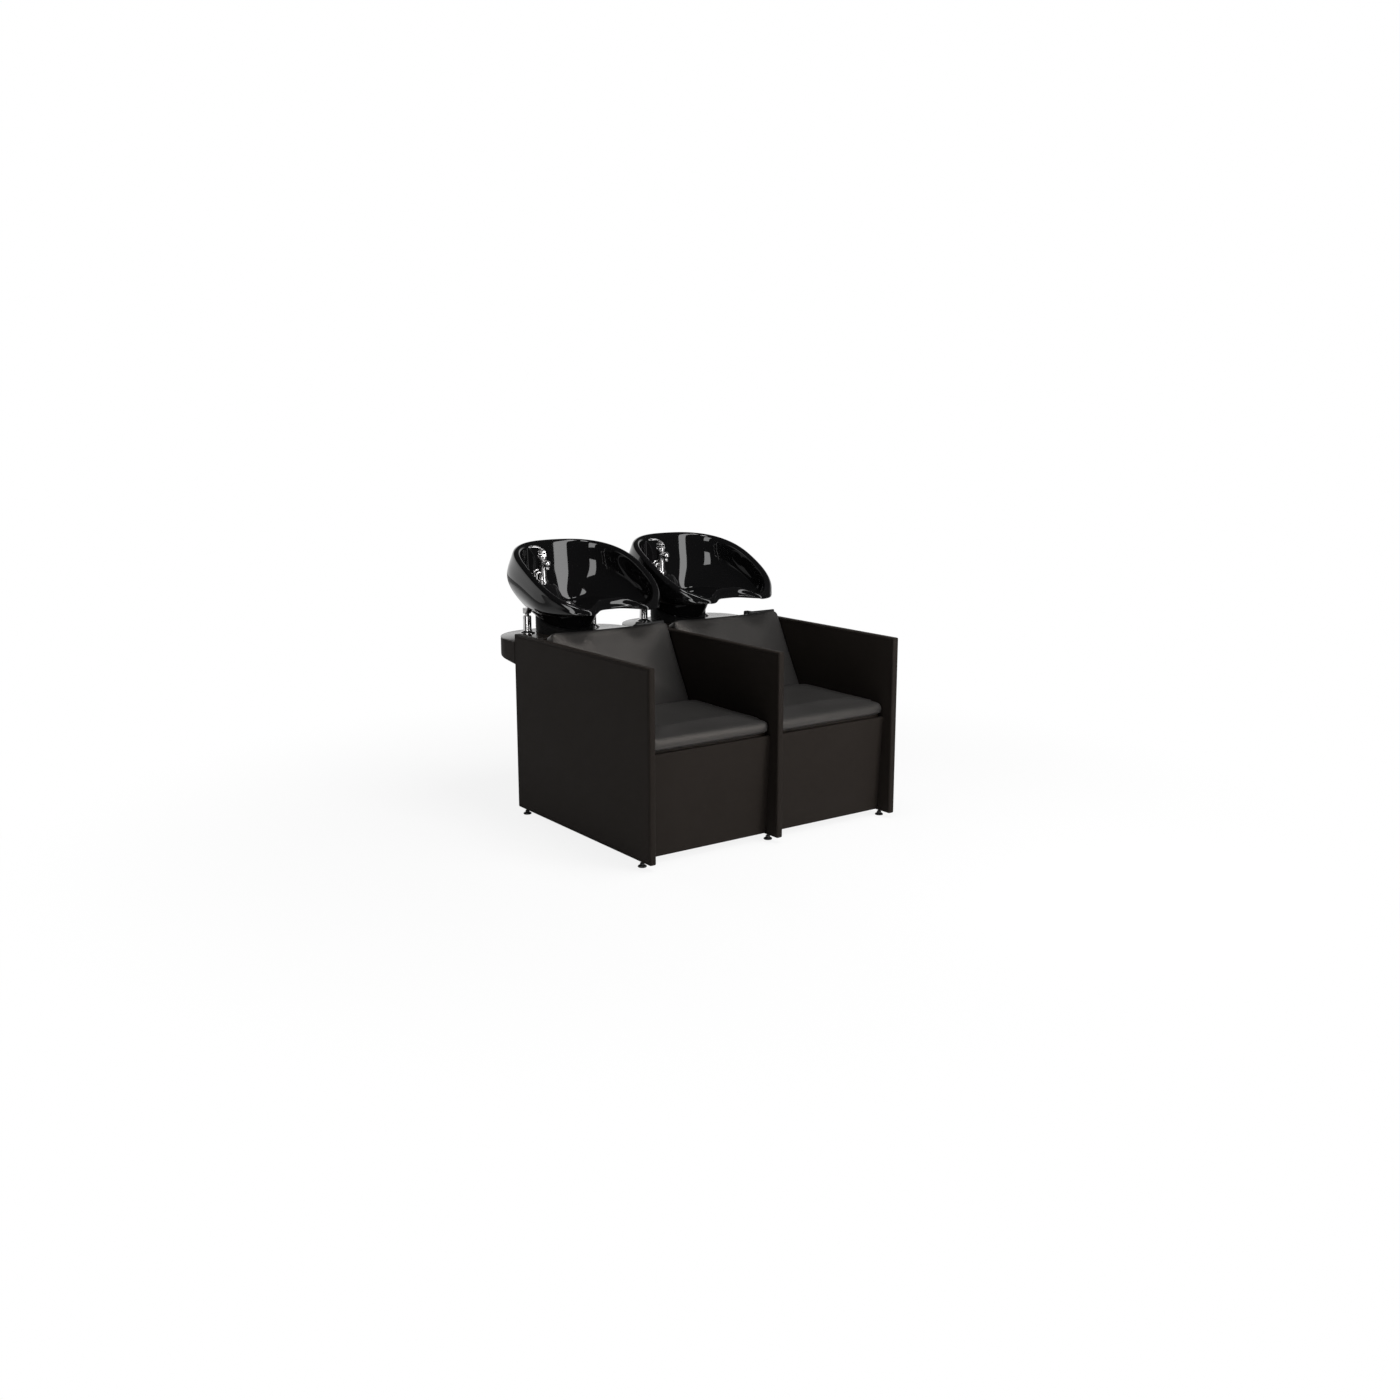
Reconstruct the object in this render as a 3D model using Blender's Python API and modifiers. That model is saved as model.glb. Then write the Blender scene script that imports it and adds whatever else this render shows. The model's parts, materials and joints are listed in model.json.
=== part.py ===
"""Two-seat shampoo backwash unit: upholstered sofa body, rear shelves and tilting ceramic bowls.

Metres, +Z up. The front faces -Y, the origin is on the floor under the middle of the unit.
"""
import math

import bmesh
import bpy
from mathutils import Matrix, Vector
from mathutils.bvhtree import BVHTree

# Driving dimensions of the sofa body
UNIT_WIDTH = 1.150
PANEL_THICKNESS = 0.026
PANEL_DEPTH = 0.942
PANEL_HEIGHT = 0.695
PANEL_EDGE_ROUND = 0.005
SHELF_REACH = 0.246
FOOT_RISE = 0.021
FOOT_INSET_FRONT = 0.070
FOOT_INSET_REAR = 0.049
FOOT_RADIUS = 0.016
FOOT_DISC_HEIGHT = 0.007
FOOT_CHAMFER = 0.002
FOOT_NUT_RADIUS = 0.009
FOOT_STEM_RADIUS = 0.005
FOOT_STEM_GRIP = 0.034
FOOT_BORE_SPARE = 0.006

# Seats
APRON_THICKNESS = 0.018
APRON_SETBACK = 0.046
APRON_LEAN = math.radians(3.6)
APRON_BOTTOM = 0.004
APRON_TOP = 0.380
SEAT_GAP_LINE = 0.008
SEAT_SETBACK = 0.038
SEAT_CUSHION_HEIGHT = 0.055
SEAT_CROWN = 0.016
SEAT_BOARD_THICKNESS = 0.016
SEAT_BOARD_SETBACK = 0.075
RAIL_WIDTH = 0.030
RAIL_HEIGHT = 0.060
BACK_LEAN = math.radians(28.0)
BACK_FOOT_Y = 0.541
BACK_FOOT_Z = 0.426
BACK_BURY = 0.034
BACK_LENGTH = 0.342
BACK_CUSHION_THICKNESS = 0.060
BACK_CROWN = 0.010
BACK_BOARD_THICKNESS = 0.018
BACK_CAP_LENGTH = 0.135
BACK_CAP_WIDTH = 0.030
BACK_CAP_HEIGHT = 0.012
BACK_CAP_INSET = 0.006
BACK_CAP_SETTLE = 0.3
BACK_CAP_ROUND = 0.004
CUSHION_DRAW_IN = 0.0025
CUSHION_CORNER = (0.028, 0.028, 0.012)
BOARD_EDGE_ROUND = 0.002
REAR_PANEL_THICKNESS = 0.018
REAR_PANEL_INSET = 0.006
REAR_PANEL_BOTTOM = 0.030

# Rear shelves
SHELF_TOP = 0.667
SHELF_DEPTH_FRONT = 0.092
SHELF_DEPTH_REAR = 0.062
SHELF_CORNER_LENGTH = 0.175
SHELF_CORNER_WIDTH = 0.190
DECK_THICKNESS = 0.004
SHELF_PIPE_HOLE_RADIUS = 0.055

# Bowl: the rim lies in a tilted plane; places behind the sofa are measured from the panels' rear edges
BOWL_SPACING = 0.020
BOWL_FRONT_LENGTH = 0.291
BOWL_REAR_LENGTH = 0.311
BOWL_SQUARENESS = 2.57
RIM_MIDDLE_BACK = -0.082
RIM_MIDDLE_Z = 0.934
RIM_TILT = math.radians(27.5)
RIM_ARCH_FRONT = 0.006
RIM_ARCH_REAR = 0.019
RIM_ARCH_SPAN = 0.200
LIP_WIDTH = 0.031
LIP_DROP = 0.012
LIP_BOTTOM = 0.796
LIP_SETBACK = 0.010
LIP_PULL = 0.6
LIP_TUCK = 0.91
NOTCH_HALF_WIDTH = 0.135
NOTCH_DEPTH = 0.078
NOTCH_FLATNESS = 1.8

# Bowl below the rim: its widest outline, and the tilted trunk that stands in the bellows
BODY_REAR_LENGTH = 0.306
BODY_SQUARENESS = 3.6
BODY_DROP_REAR = 0.115
BODY_DROP_SIDE = 0.095
WALL_THICKNESS = 0.016
INSIDE_TAPER = 0.96
TRUNK_RADIUS = 0.113
TRUNK_WALL = 0.015
TRUNK_BACK = 0.112
TRUNK_CLEAR = 0.0585
TRUNK_TILT = math.radians(20.5)
SHOULDER_FLARE_SIDE = 0.055
SHOULDER_FLARE_FRONT = 0.020
SHOULDER_RISE_REAR = 0.045
SHOULDER_RISE_FRONT = 0.085
DRAIN_BACK = 0.090
DRAIN_RISE = 0.060
DRAIN_RADIUS = 0.024
DRAIN_LAND_RADIUS = 0.038
FLOOR_THICKNESS = 0.014
FLOOR_REACH_FRONT = 0.190
FLOOR_REACH_REAR = 0.058
FLOOR_RISE = 0.014
BOWL_SEGMENTS = 44
BOWL_SPAN_RINGS = 3
LIP_RING_SHARES = (0.2, 0.5, 0.8)

# Bellows, waste and posts
BELLOWS_RIBS = 5
BELLOWS_RIB_HEIGHT = 0.008
BELLOWS_OVERHANG = 0.005
BELLOWS_WALL = 0.004
BELLOWS_SEGMENTS = 28
STRAINER_RADIUS = 0.032
STRAINER_HEIGHT = 0.004
STRAINER_SHANK_RADIUS = 0.0165
STRAINER_SHANK_LENGTH = 0.034
STRAINER_HOLES = 6
STRAINER_HOLE_RADIUS = 0.0035
STRAINER_HOLE_SPREAD = 0.62
PIPE_WALL = 0.003
PIPE_COLLAR_RADIUS = 0.031
PIPE_COLLAR_SPARE = 0.010
PIPE_COLLAR_HEIGHT = 0.006
PIPE_BELOW_DECK = 0.020
POST_SPREAD = 0.153
POST_BACK = 0.148
POST_RADIUS = 0.015
POST_FLANGE_RADIUS = 0.030
POST_FLANGE_HEIGHT = 0.006
POST_CHAMFER = 0.003
LUG_THICKNESS = 0.010
LUG_EYE_RADIUS = 0.009
LUG_PAD_LENGTH = 0.036
LUG_PAD_WIDTH = 0.024
LUG_PAD_HEIGHT = 0.005
LUG_PAD_GRIP = 0.016
PIVOT_RADIUS = 0.004
PIVOT_HEAD_RADIUS = 0.007
PIVOT_HEAD_HEIGHT = 0.003

# Mixer, measured from the middle of the bowl, the panels' rear edges and their bottoms
MIXER_X = -0.152
MIXER_BACK = 0.018
MIXER_SEAT_Z = 0.885
MIXER_SEAT_RADIUS = 0.085
MIXER_SEAT_SHIFT = 0.050
SEAT_BLOCK_SHARE = 0.98
MIXER_RADIUS = 0.018
MIXER_HEIGHT = 0.098
MIXER_FLANGE_RADIUS = 0.024
MIXER_FLANGE_HEIGHT = 0.005
SPOUT_RISE = 0.074
SPOUT_RADIUS = 0.0125
SPOUT_LENGTH = 0.026
SPRAY_TAIL_RADIUS = 0.0075
SPRAY_TAIL_LENGTH = 0.034
SPRAY_BALL_RADIUS = 0.015
SPRAY_BALL_OUT = 0.012
SPRAY_NOZZLE_RADIUS = 0.010
SPRAY_NOZZLE_LENGTH = 0.022
CAP_RADIUS = 0.019
CAP_HEIGHT = 0.010
CAP_CHAMFER = 0.002
CAP_EAR_HEIGHT = 0.015
CAP_EAR_WIDTH = 0.016
CAP_EAR_THICKNESS = 0.005
LEVER_BARREL_RADIUS = 0.006
LEVER_TRUNNION_RADIUS = 0.0028
LEVER_LENGTH = 0.060
LEVER_HEEL = 0.010
LEVER_WIDTH = 0.026
LEVER_THICKNESS = 0.007
LEVER_TIP_SHARE = 0.8
LEVER_TIP_ROUND = 0.47
LEVER_RISE = math.radians(24.0)
SUPPLY_RADIUS = 0.005
SUPPLY_OFFSET = 0.036
SUPPLY_RISE = 0.050
SUPPLY_STRAIGHT = 0.0075

# Clearances
GAP = 0.0003
RUNNING_GAP = 0.0004

FRONT_Y = -(PANEL_DEPTH + SHELF_REACH) / 2
SEAT_WIDTH = (UNIT_WIDTH - 3 * PANEL_THICKNESS) / 2
SEAT_X = (SEAT_WIDTH + PANEL_THICKNESS) / 2
BOWL_WIDTH = 2 * SEAT_X - BOWL_SPACING
BACK_TURN = math.pi / 2 - BACK_LEAN
UP = Vector((0.0, 0.0, 1.0))

for old in list(bpy.data.objects):
    bpy.data.objects.remove(old, do_unlink=True)

UNIT = bpy.data.collections.new("shampoo_backwash_unit")
CUTTERS = bpy.data.collections.new("cutters")
for collection in (UNIT, CUTTERS):
    bpy.context.scene.collection.children.link(collection)


def from_front(distance):
    """World Y of a distance measured back from the panels' front edges."""
    return FRONT_Y + distance


def from_rear(distance):
    """World Y of a distance measured back from the panels' rear edges."""
    return FRONT_Y + PANEL_DEPTH + distance


def from_base(height):
    """World Z of a height measured up from the panels' bottom edges."""
    return FOOT_RISE + height


def finish(name, colour, roughness, metallic=0.0):
    """Principled material of one finish."""
    material = bpy.data.materials.new(name)
    material.use_nodes = True
    shader = material.node_tree.nodes["Principled BSDF"]
    shader.inputs["Base Color"].default_value = (*colour, 1.0)
    shader.inputs["Roughness"].default_value = roughness
    shader.inputs["Metallic"].default_value = metallic
    return material


VINYL = (0.016, 0.014, 0.013)
FINISHES = {
    "panel": finish("panel_vinyl", VINYL, 0.5),
    "cushion": finish("cushion_vinyl", (0.020, 0.019, 0.019), 0.5),
    "board": finish("birch_board", (0.42, 0.31, 0.20), 0.7),
    "deck": finish("shelf_laminate", (0.10, 0.085, 0.075), 0.22),
    "ceramic": finish("black_ceramic", (0.006, 0.006, 0.006), 0.06),
    "rubber": finish("bellows_rubber", (0.012, 0.012, 0.012), 0.6),
    "chrome": finish("chrome", (0.78, 0.78, 0.79), 0.08, 1.0),
    "steel": finish("zinc_steel", (0.45, 0.45, 0.46), 0.35, 1.0),
    "plastic": finish("black_plastic", (0.014, 0.014, 0.014), 0.45),
    "pipe": finish("grey_pipe", (0.30, 0.30, 0.31), 0.5),
}


def add_object(name, mesh, material, origin, smooth_angle=35.0):
    """Put a mesh, given in its own frame, into the unit at its origin."""
    mesh.shade_smooth()
    mesh.set_sharp_from_angle(angle=math.radians(smooth_angle))
    mesh.materials.append(FINISHES[material])
    piece = bpy.data.objects.new(name, mesh)
    piece.location = origin
    UNIT.objects.link(piece)
    return piece


def piece_from(name, bm, material, origin=(0.0, 0.0, 0.0)):
    """Turn a bmesh in world coordinates into a piece with its origin where it turns or stands."""
    bmesh.ops.translate(bm, verts=bm.verts, vec=-Vector(origin))
    mesh = bpy.data.meshes.new(name)
    bm.to_mesh(mesh)
    bm.free()
    return add_object(name, mesh, material, origin)


def cutter_from(name, bm):
    """Turn a bmesh in world coordinates into a hidden cutter."""
    mesh = bpy.data.meshes.new(name)
    bm.to_mesh(mesh)
    bm.free()
    cutter = bpy.data.objects.new(name, mesh)
    cutter.hide_render = True
    cutter.display_type = "WIRE"
    CUTTERS.objects.link(cutter)
    return cutter


def combine(piece, other, operation):
    """Boolean modifier with another object."""
    modifier = piece.modifiers.new(other.name, "BOOLEAN")
    modifier.operation = operation
    modifier.object = other


def box_mesh(low, high):
    """Axis-aligned box between two corners."""
    low, high = Vector(low), Vector(high)
    bm = bmesh.new()
    bmesh.ops.create_cube(bm, size=1.0)
    bmesh.ops.scale(bm, verts=bm.verts, vec=high - low)
    bmesh.ops.translate(bm, verts=bm.verts, vec=(low + high) / 2)
    return bm


def cylinder_mesh(start, end, radius, segments=20, end_radius=None):
    """Round bar between two points, tapered where an end radius is given."""
    start, end = Vector(start), Vector(end)
    bm = bmesh.new()
    bmesh.ops.create_cone(
        bm, cap_ends=True, segments=segments, radius1=radius,
        radius2=radius if end_radius is None else end_radius, depth=(end - start).length)
    turn = UP.rotation_difference(end - start).to_matrix().to_4x4()
    bmesh.ops.transform(bm, verts=bm.verts, matrix=Matrix.Translation((start + end) / 2) @ turn)
    return bm


def rounded_box(name, low, high, material, rounding, origin=(0.0, 0.0, 0.0), lean=0.0,
                segments=1):
    """Board with rounded edges, given in its own frame and leaned back about X."""
    mesh = bpy.data.meshes.new(name)
    bm = box_mesh(low, high)
    bm.to_mesh(mesh)
    bm.free()
    piece = add_object(name, mesh, material, origin)
    piece.rotation_euler.x = -lean
    bevel = piece.modifiers.new("edges", "BEVEL")
    bevel.width = rounding
    bevel.segments = segments
    bevel.limit_method = "ANGLE"
    return piece


def turned(name, profile, material, origin, steps=24, closed=False):
    """Turned piece from a profile of (radius, height) that runs down its outer side."""
    mesh = bpy.data.meshes.new(name)
    bm = bmesh.new()
    points = [bm.verts.new((radius, 0.0, height)) for radius, height in profile]
    for first, second in zip(points, points[1:]):
        bm.edges.new((first, second))
    if closed:
        bm.edges.new((points[-1], points[0]))
    bm.to_mesh(mesh)
    bm.free()
    piece = add_object(name, mesh, material, origin)
    screw = piece.modifiers.new("turn", "SCREW")
    screw.steps = steps
    screw.render_steps = steps
    screw.use_merge_vertices = True
    screw.merge_threshold = 0.00002
    return piece


def cushion(name, size, crown, material, origin, lean=0.0):
    """Crowned cushion whose sides draw in between its corners, standing on its lower face."""
    half = Vector(size) / 2
    hold = [1 - corner / length for corner, length in zip(CUSHION_CORNER, half)]
    bm = bmesh.new()
    bmesh.ops.create_cube(bm, size=2.0)
    bmesh.ops.subdivide_edges(bm, edges=bm.edges, cuts=3, use_grid_fill=True)
    for vert in bm.verts:
        x, y, z = [
            math.copysign(near, share) if 0.0 < abs(share) < 1.0 else share
            for share, near in zip(vert.co, hold)]
        across = 1 - x * x
        along = 1 - y * y
        swell = crown * across * along * max(0.0, z)
        vert.co.x = x * (half.x - CUSHION_DRAW_IN * along * abs(x))
        vert.co.y = y * (half.y - CUSHION_DRAW_IN * across * abs(y))
        vert.co.z = half.z * (1 + z) + swell
    mesh = bpy.data.meshes.new(name)
    bm.to_mesh(mesh)
    bm.free()
    piece = add_object(name, mesh, material, origin, 80.0)
    piece.rotation_euler.x = lean
    rounding = piece.modifiers.new("soften", "SUBSURF")
    rounding.levels = 1
    rounding.render_levels = 1
    return piece


def side_panels_and_feet():
    """Three upholstered boards, each on two screw feet."""
    low_z = from_base(0.0)
    foot_places = {
        "front": from_front(FOOT_INSET_FRONT),
        "rear": from_front(PANEL_DEPTH - FOOT_INSET_REAR),
    }
    outer_x = (UNIT_WIDTH - PANEL_THICKNESS) / 2
    bore_radius = FOOT_STEM_RADIUS + GAP
    for side, x in (("left", -outer_x), ("centre", 0.0), ("right", outer_x)):
        panel = rounded_box(
            f"{side}_side_panel",
            (x - PANEL_THICKNESS / 2, from_front(0.0), low_z),
            (x + PANEL_THICKNESS / 2, from_front(PANEL_DEPTH), low_z + PANEL_HEIGHT),
            "panel", PANEL_EDGE_ROUND, segments=2)
        for end, y in foot_places.items():
            bore_top = low_z + FOOT_STEM_GRIP + FOOT_BORE_SPARE
            bore = cylinder_mesh((x, y, 0.0), (x, y, bore_top), bore_radius, 16)
            combine(panel, cutter_from(f"{side}_{end}_foot_bore", bore), "DIFFERENCE")
            turned(f"{side}_{end}_foot", [
                (0.0, low_z + FOOT_STEM_GRIP),
                (FOOT_STEM_RADIUS, low_z + FOOT_STEM_GRIP),
                (FOOT_STEM_RADIUS, low_z - GAP),
                (FOOT_NUT_RADIUS, low_z - GAP),
                (FOOT_NUT_RADIUS, FOOT_DISC_HEIGHT),
                (FOOT_RADIUS - FOOT_CHAMFER, FOOT_DISC_HEIGHT),
                (FOOT_RADIUS, FOOT_DISC_HEIGHT - FOOT_CHAMFER),
                (FOOT_RADIUS, 0.0),
                (0.0, 0.0),
            ], "plastic", (x, y, 0.0), steps=12)


def seat(side, seat_x):
    """Cushions, boards, rails, apron and rear panel between two side panels."""
    left = seat_x - SEAT_WIDTH / 2 + GAP
    right = seat_x + SEAT_WIDTH / 2 - GAP
    apron_height = APRON_TOP - APRON_BOTTOM
    rounded_box(
        f"{side}_apron",
        (left - seat_x, 0.0, -apron_height), (right - seat_x, APRON_THICKNESS, 0.0),
        "panel", BOARD_EDGE_ROUND,
        (seat_x, from_front(APRON_SETBACK), from_base(APRON_TOP)), -APRON_LEAN)

    seat_low = APRON_TOP + SEAT_GAP_LINE
    board_low = seat_low - SEAT_BOARD_THICKNESS - GAP
    back_low_y = BACK_FOOT_Y - (BACK_FOOT_Z - seat_low) * math.tan(BACK_LEAN)
    seat_rear = back_low_y - GAP
    cushion(
        f"{side}_seat_cushion",
        (right - left, seat_rear - SEAT_SETBACK, SEAT_CUSHION_HEIGHT), SEAT_CROWN, "cushion",
        (seat_x, from_front((SEAT_SETBACK + seat_rear) / 2), from_base(seat_low)))
    rounded_box(
        f"{side}_seat_board",
        (left, from_front(SEAT_BOARD_SETBACK), from_base(board_low)),
        (right, from_front(seat_rear), from_base(seat_low - GAP)), "board", BOARD_EDGE_ROUND)
    rail_top = board_low - GAP
    rail_y = (SEAT_BOARD_SETBACK + seat_rear - RAIL_WIDTH) / 2
    rounded_box(
        f"{side}_seat_rail",
        (left, from_front(rail_y), from_base(rail_top - RAIL_HEIGHT)),
        (right, from_front(rail_y + RAIL_WIDTH), from_base(rail_top)), "board", BOARD_EDGE_ROUND)

    back_foot = (seat_x, from_front(BACK_FOOT_Y), from_base(BACK_FOOT_Z))
    length = BACK_LENGTH + BACK_BURY
    middle = (BACK_LENGTH - BACK_BURY) / 2
    lift = Matrix.Rotation(-BACK_LEAN, 3, "X")
    cushion_place = Vector(back_foot) + lift @ Vector((0.0, BACK_CUSHION_THICKNESS, middle))
    cushion(
        f"{side}_back_cushion",
        (right - left, length, BACK_CUSHION_THICKNESS), BACK_CROWN, "cushion", cushion_place,
        BACK_TURN)
    board_front = BACK_CUSHION_THICKNESS + GAP
    rounded_box(
        f"{side}_back_board",
        (left - seat_x, board_front, -BACK_BURY),
        (right - seat_x, board_front + BACK_BOARD_THICKNESS, BACK_LENGTH),
        "panel", BOARD_EDGE_ROUND, back_foot, BACK_LEAN)
    cap_right = right - seat_x - BACK_CAP_INSET
    cap_front = (BACK_CUSHION_THICKNESS - BACK_CAP_WIDTH) / 2
    cap_low = BACK_LENGTH + GAP - BACK_CAP_SETTLE * CUSHION_DRAW_IN
    rounded_box(
        f"{side}_back_cap",
        (cap_right - BACK_CAP_LENGTH, cap_front, cap_low),
        (cap_right, cap_front + BACK_CAP_WIDTH, cap_low + BACK_CAP_HEIGHT),
        "plastic", BACK_CAP_ROUND, back_foot, BACK_LEAN, 2)

    rear_face = PANEL_DEPTH - REAR_PANEL_INSET
    rounded_box(
        f"{side}_rear_panel",
        (left, from_front(rear_face - REAR_PANEL_THICKNESS), from_base(REAR_PANEL_BOTTOM)),
        (right, from_front(rear_face), from_base(SHELF_TOP)), "panel", BOARD_EDGE_ROUND)


def shelf_outline(left, right):
    """Plan of a shelf: square front corners, elliptic rear corners, from the front left round."""
    front = from_rear(GAP)
    rear = from_rear(SHELF_REACH)
    points = [(left, front)]
    steps = 6
    for middle_x, turn in ((left + SHELF_CORNER_WIDTH, 1.0), (right - SHELF_CORNER_WIDTH, 0.0)):
        for step in range(steps + 1):
            angle = math.pi / 2 * (turn + 1.0 - step / steps)
            points.append((
                middle_x + SHELF_CORNER_WIDTH * math.cos(angle),
                rear - SHELF_CORNER_LENGTH * (1 - math.sin(angle))))
    points.append((right, front))
    return points


def shelf_slab(outline, low, high, lift_rear=0.0):
    """Slab of an outline whose underside rises towards the rear."""
    bm = bmesh.new()
    top = bm.faces.new([bm.verts.new((x, y, high)) for x, y in outline])
    base = bmesh.ops.extrude_face_region(bm, geom=[top])["geom"]
    front = outline[0][1]
    for vert in base:
        if isinstance(vert, bmesh.types.BMVert):
            vert.co.z = low + lift_rear * (vert.co.y - front) / SHELF_REACH
    bmesh.ops.recalc_face_normals(bm, faces=bm.faces)
    return bm


def shelf(side, seat_x):
    """Box shelf behind the panels and the laminate deck on it, bored for the waste pipe."""
    outer = math.copysign(UNIT_WIDTH / 2, seat_x)
    inner = math.copysign(GAP, seat_x)
    left, right = min(outer, inner), max(outer, inner)
    outline = shelf_outline(left, right)
    top = from_base(SHELF_TOP)
    deck_low = top - DECK_THICKNESS
    hole = cylinder_mesh(
        (seat_x, from_rear(DRAIN_BACK), top - 2 * SHELF_DEPTH_FRONT),
        (seat_x, from_rear(DRAIN_BACK), top + DECK_THICKNESS), SHELF_PIPE_HOLE_RADIUS, 20)
    hole_cutter = cutter_from(f"{side}_shelf_hole", hole)
    slab = shelf_slab(
        outline, top - SHELF_DEPTH_FRONT, deck_low - GAP, SHELF_DEPTH_FRONT - SHELF_DEPTH_REAR)
    combine(piece_from(f"{side}_shelf_box", slab, "panel"), hole_cutter, "DIFFERENCE")
    deck = shelf_slab(outline, deck_low, top)
    combine(piece_from(f"{side}_shelf_deck", deck, "deck"), hole_cutter, "DIFFERENCE")


RIM_BACK = Vector((0.0, math.cos(RIM_TILT), math.sin(RIM_TILT)))
RIM_NORMAL = Vector((0.0, -math.sin(RIM_TILT), math.cos(RIM_TILT)))
RIM_MIDDLE = Vector((0.0, from_rear(RIM_MIDDLE_BACK), from_base(RIM_MIDDLE_Z)))
TRUNK_SLOPE = math.tan(TRUNK_TILT)
TRUNK_Z = from_base(SHELF_TOP + TRUNK_CLEAR)
DRAIN_Z = TRUNK_Z + DRAIN_RISE


def bowl_angles():
    """Angles round the bowl from the rear, three times as close at the neck notch."""
    even = [2 * math.pi * step / BOWL_SEGMENTS for step in range(BOWL_SEGMENTS)]
    return [angle + math.sin(angle) / 2 for angle in even]


def signed_power(value, squareness):
    """Coordinate of a superellipse from a sine or cosine."""
    return math.copysign(abs(value) ** (2 / squareness), value)


def notch(u):
    """How far the neck notch moves the front of the rim back at a distance from its middle."""
    share = min(1.0, abs(u) / NOTCH_HALF_WIDTH)
    return NOTCH_DEPTH * (1 + math.cos(math.pi * share ** NOTCH_FLATNESS)) / 2


def rim_point(angle, inset, drop):
    """Point of the rim moved in from its outline and down from its plane."""
    sine, cosine = math.sin(angle), math.cos(angle)
    length = (BOWL_REAR_LENGTH if cosine > 0 else BOWL_FRONT_LENGTH) - inset
    u = (BOWL_WIDTH / 2 - inset) * signed_power(sine, BOWL_SQUARENESS)
    v = length * signed_power(cosine, BOWL_SQUARENESS)
    if cosine < 0:
        v += notch(u)
    arch = RIM_ARCH_REAR if v > 0 else RIM_ARCH_FRONT
    sink = drop + arch * (v / RIM_ARCH_SPAN) ** 2
    return RIM_MIDDLE + Vector((u, 0.0, 0.0)) + RIM_BACK * v - RIM_NORMAL * sink


def ring_point(angle, radius, distance, z, slope=0.0):
    """Point of a circle round the trunk or the drain, rising to the rear by a slope."""
    back = radius * math.cos(angle)
    return Vector((radius * math.sin(angle), from_rear(distance) + back, z + back * slope))


def frontness(angle):
    """0 on the rear half of the bowl, rising to 1 at its front."""
    return max(0.0, -math.cos(angle))


def front_blend(angle):
    """0 on the rear half of the bowl, rising smoothly to 1 over its front."""
    share = min(1.0, 2 * frontness(angle))
    return share * share * (3 - 2 * share)


def body_point(angle, rim, inset, floor):
    """Point of the bowl's widest outline, which follows the rim at the front."""
    sine, cosine = math.sin(angle), math.cos(angle)
    blend = front_blend(angle)
    drop = BODY_DROP_SIDE + (BODY_DROP_REAR - BODY_DROP_SIDE) * max(0.0, cosine)
    front_pull = frontness(angle) ** LIP_PULL
    z = (rim.z - drop) * (1 - front_pull) + (from_base(LIP_BOTTOM) + floor) * front_pull
    y = rim.y
    if cosine > 0:
        y = RIM_MIDDLE.y + (BODY_REAR_LENGTH - inset) * signed_power(cosine, BODY_SQUARENESS)
    wide = Vector(((BOWL_WIDTH / 2 - inset) * signed_power(sine, BODY_SQUARENESS), y, z))
    under_lip = Vector((rim.x * LIP_TUCK, rim.y + LIP_SETBACK + floor, z))
    return wide * (1 - blend) + under_lip * blend


def outer_curve(angle):
    """Outside of the bowl: rim, widest place, shoulder of the trunk and the trunk's lower edge."""
    rim = rim_point(angle, 0.0, LIP_DROP)
    end = ring_point(angle, TRUNK_RADIUS, TRUNK_BACK, TRUNK_Z, TRUNK_SLOPE)
    front = frontness(angle)
    flare = SHOULDER_FLARE_SIDE * abs(math.sin(angle)) + SHOULDER_FLARE_FRONT * front
    rise = SHOULDER_RISE_REAR + (SHOULDER_RISE_FRONT - SHOULDER_RISE_REAR) * front
    shoulder = end + Vector((math.sin(angle) * flare, math.cos(angle) * flare, rise))
    return rim, body_point(angle, rim, 0.0, 0.0), shoulder, end


def inner_curve(angle):
    """Inside of the bowl: rim, middle of the sloping wall, foot of the wall and the land round the drain."""
    rim = rim_point(angle, LIP_WIDTH, LIP_DROP)
    end = ring_point(angle, DRAIN_LAND_RADIUS, DRAIN_BACK, DRAIN_Z)
    share = (1 - math.cos(angle)) / 2
    reach = FLOOR_REACH_REAR + (FLOOR_REACH_FRONT - FLOOR_REACH_REAR) * share
    foot = ring_point(angle, reach, DRAIN_BACK, DRAIN_Z + FLOOR_RISE)
    under_lip = body_point(angle, rim, WALL_THICKNESS, WALL_THICKNESS)
    slope = RIM_MIDDLE + (rim - RIM_MIDDLE) * INSIDE_TAPER
    slope.z = under_lip.z
    return rim, slope.lerp(under_lip, front_blend(angle)), foot, end


def spline_rings(curve, angles):
    """Rings of points on a smooth curve that passes through each of a meridian's places."""
    meridians = []
    for angle in angles:
        places = curve(angle)
        first, last = places[0] * 2 - places[1], places[-1] * 2 - places[-2]
        guides = [first, *places, last]
        meridian = [places[0]]
        for a, b, c, d in zip(guides, guides[1:], guides[2:], guides[3:]):
            for step in range(1, BOWL_SPAN_RINGS + 1):
                share = step / BOWL_SPAN_RINGS
                bend = (a * 2 - b * 5 + c * 4 - d) * share ** 2 + (b * 3 - a - c * 3 + d) * share ** 3
                meridian.append((b * 2 + (c - a) * share + bend) / 2)
        meridians.append(meridian)
    return [list(ring) for ring in zip(*meridians)]


def loft(bm, rings, closed):
    """Skin between rings of points, closed round each ring and, if asked, from last to first."""
    count = len(rings[0])
    verts = [[bm.verts.new(point) for point in ring] for ring in rings]
    pairs = list(zip(verts, verts[1:]))
    if closed:
        pairs.append((verts[-1], verts[0]))
    for first, second in pairs:
        for index in range(count):
            after = (index + 1) % count
            bm.faces.new((first[index], first[after], second[after], second[index]))
    bmesh.ops.triangulate(bm, faces=bm.faces, quad_method="FIXED")
    return verts


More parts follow.
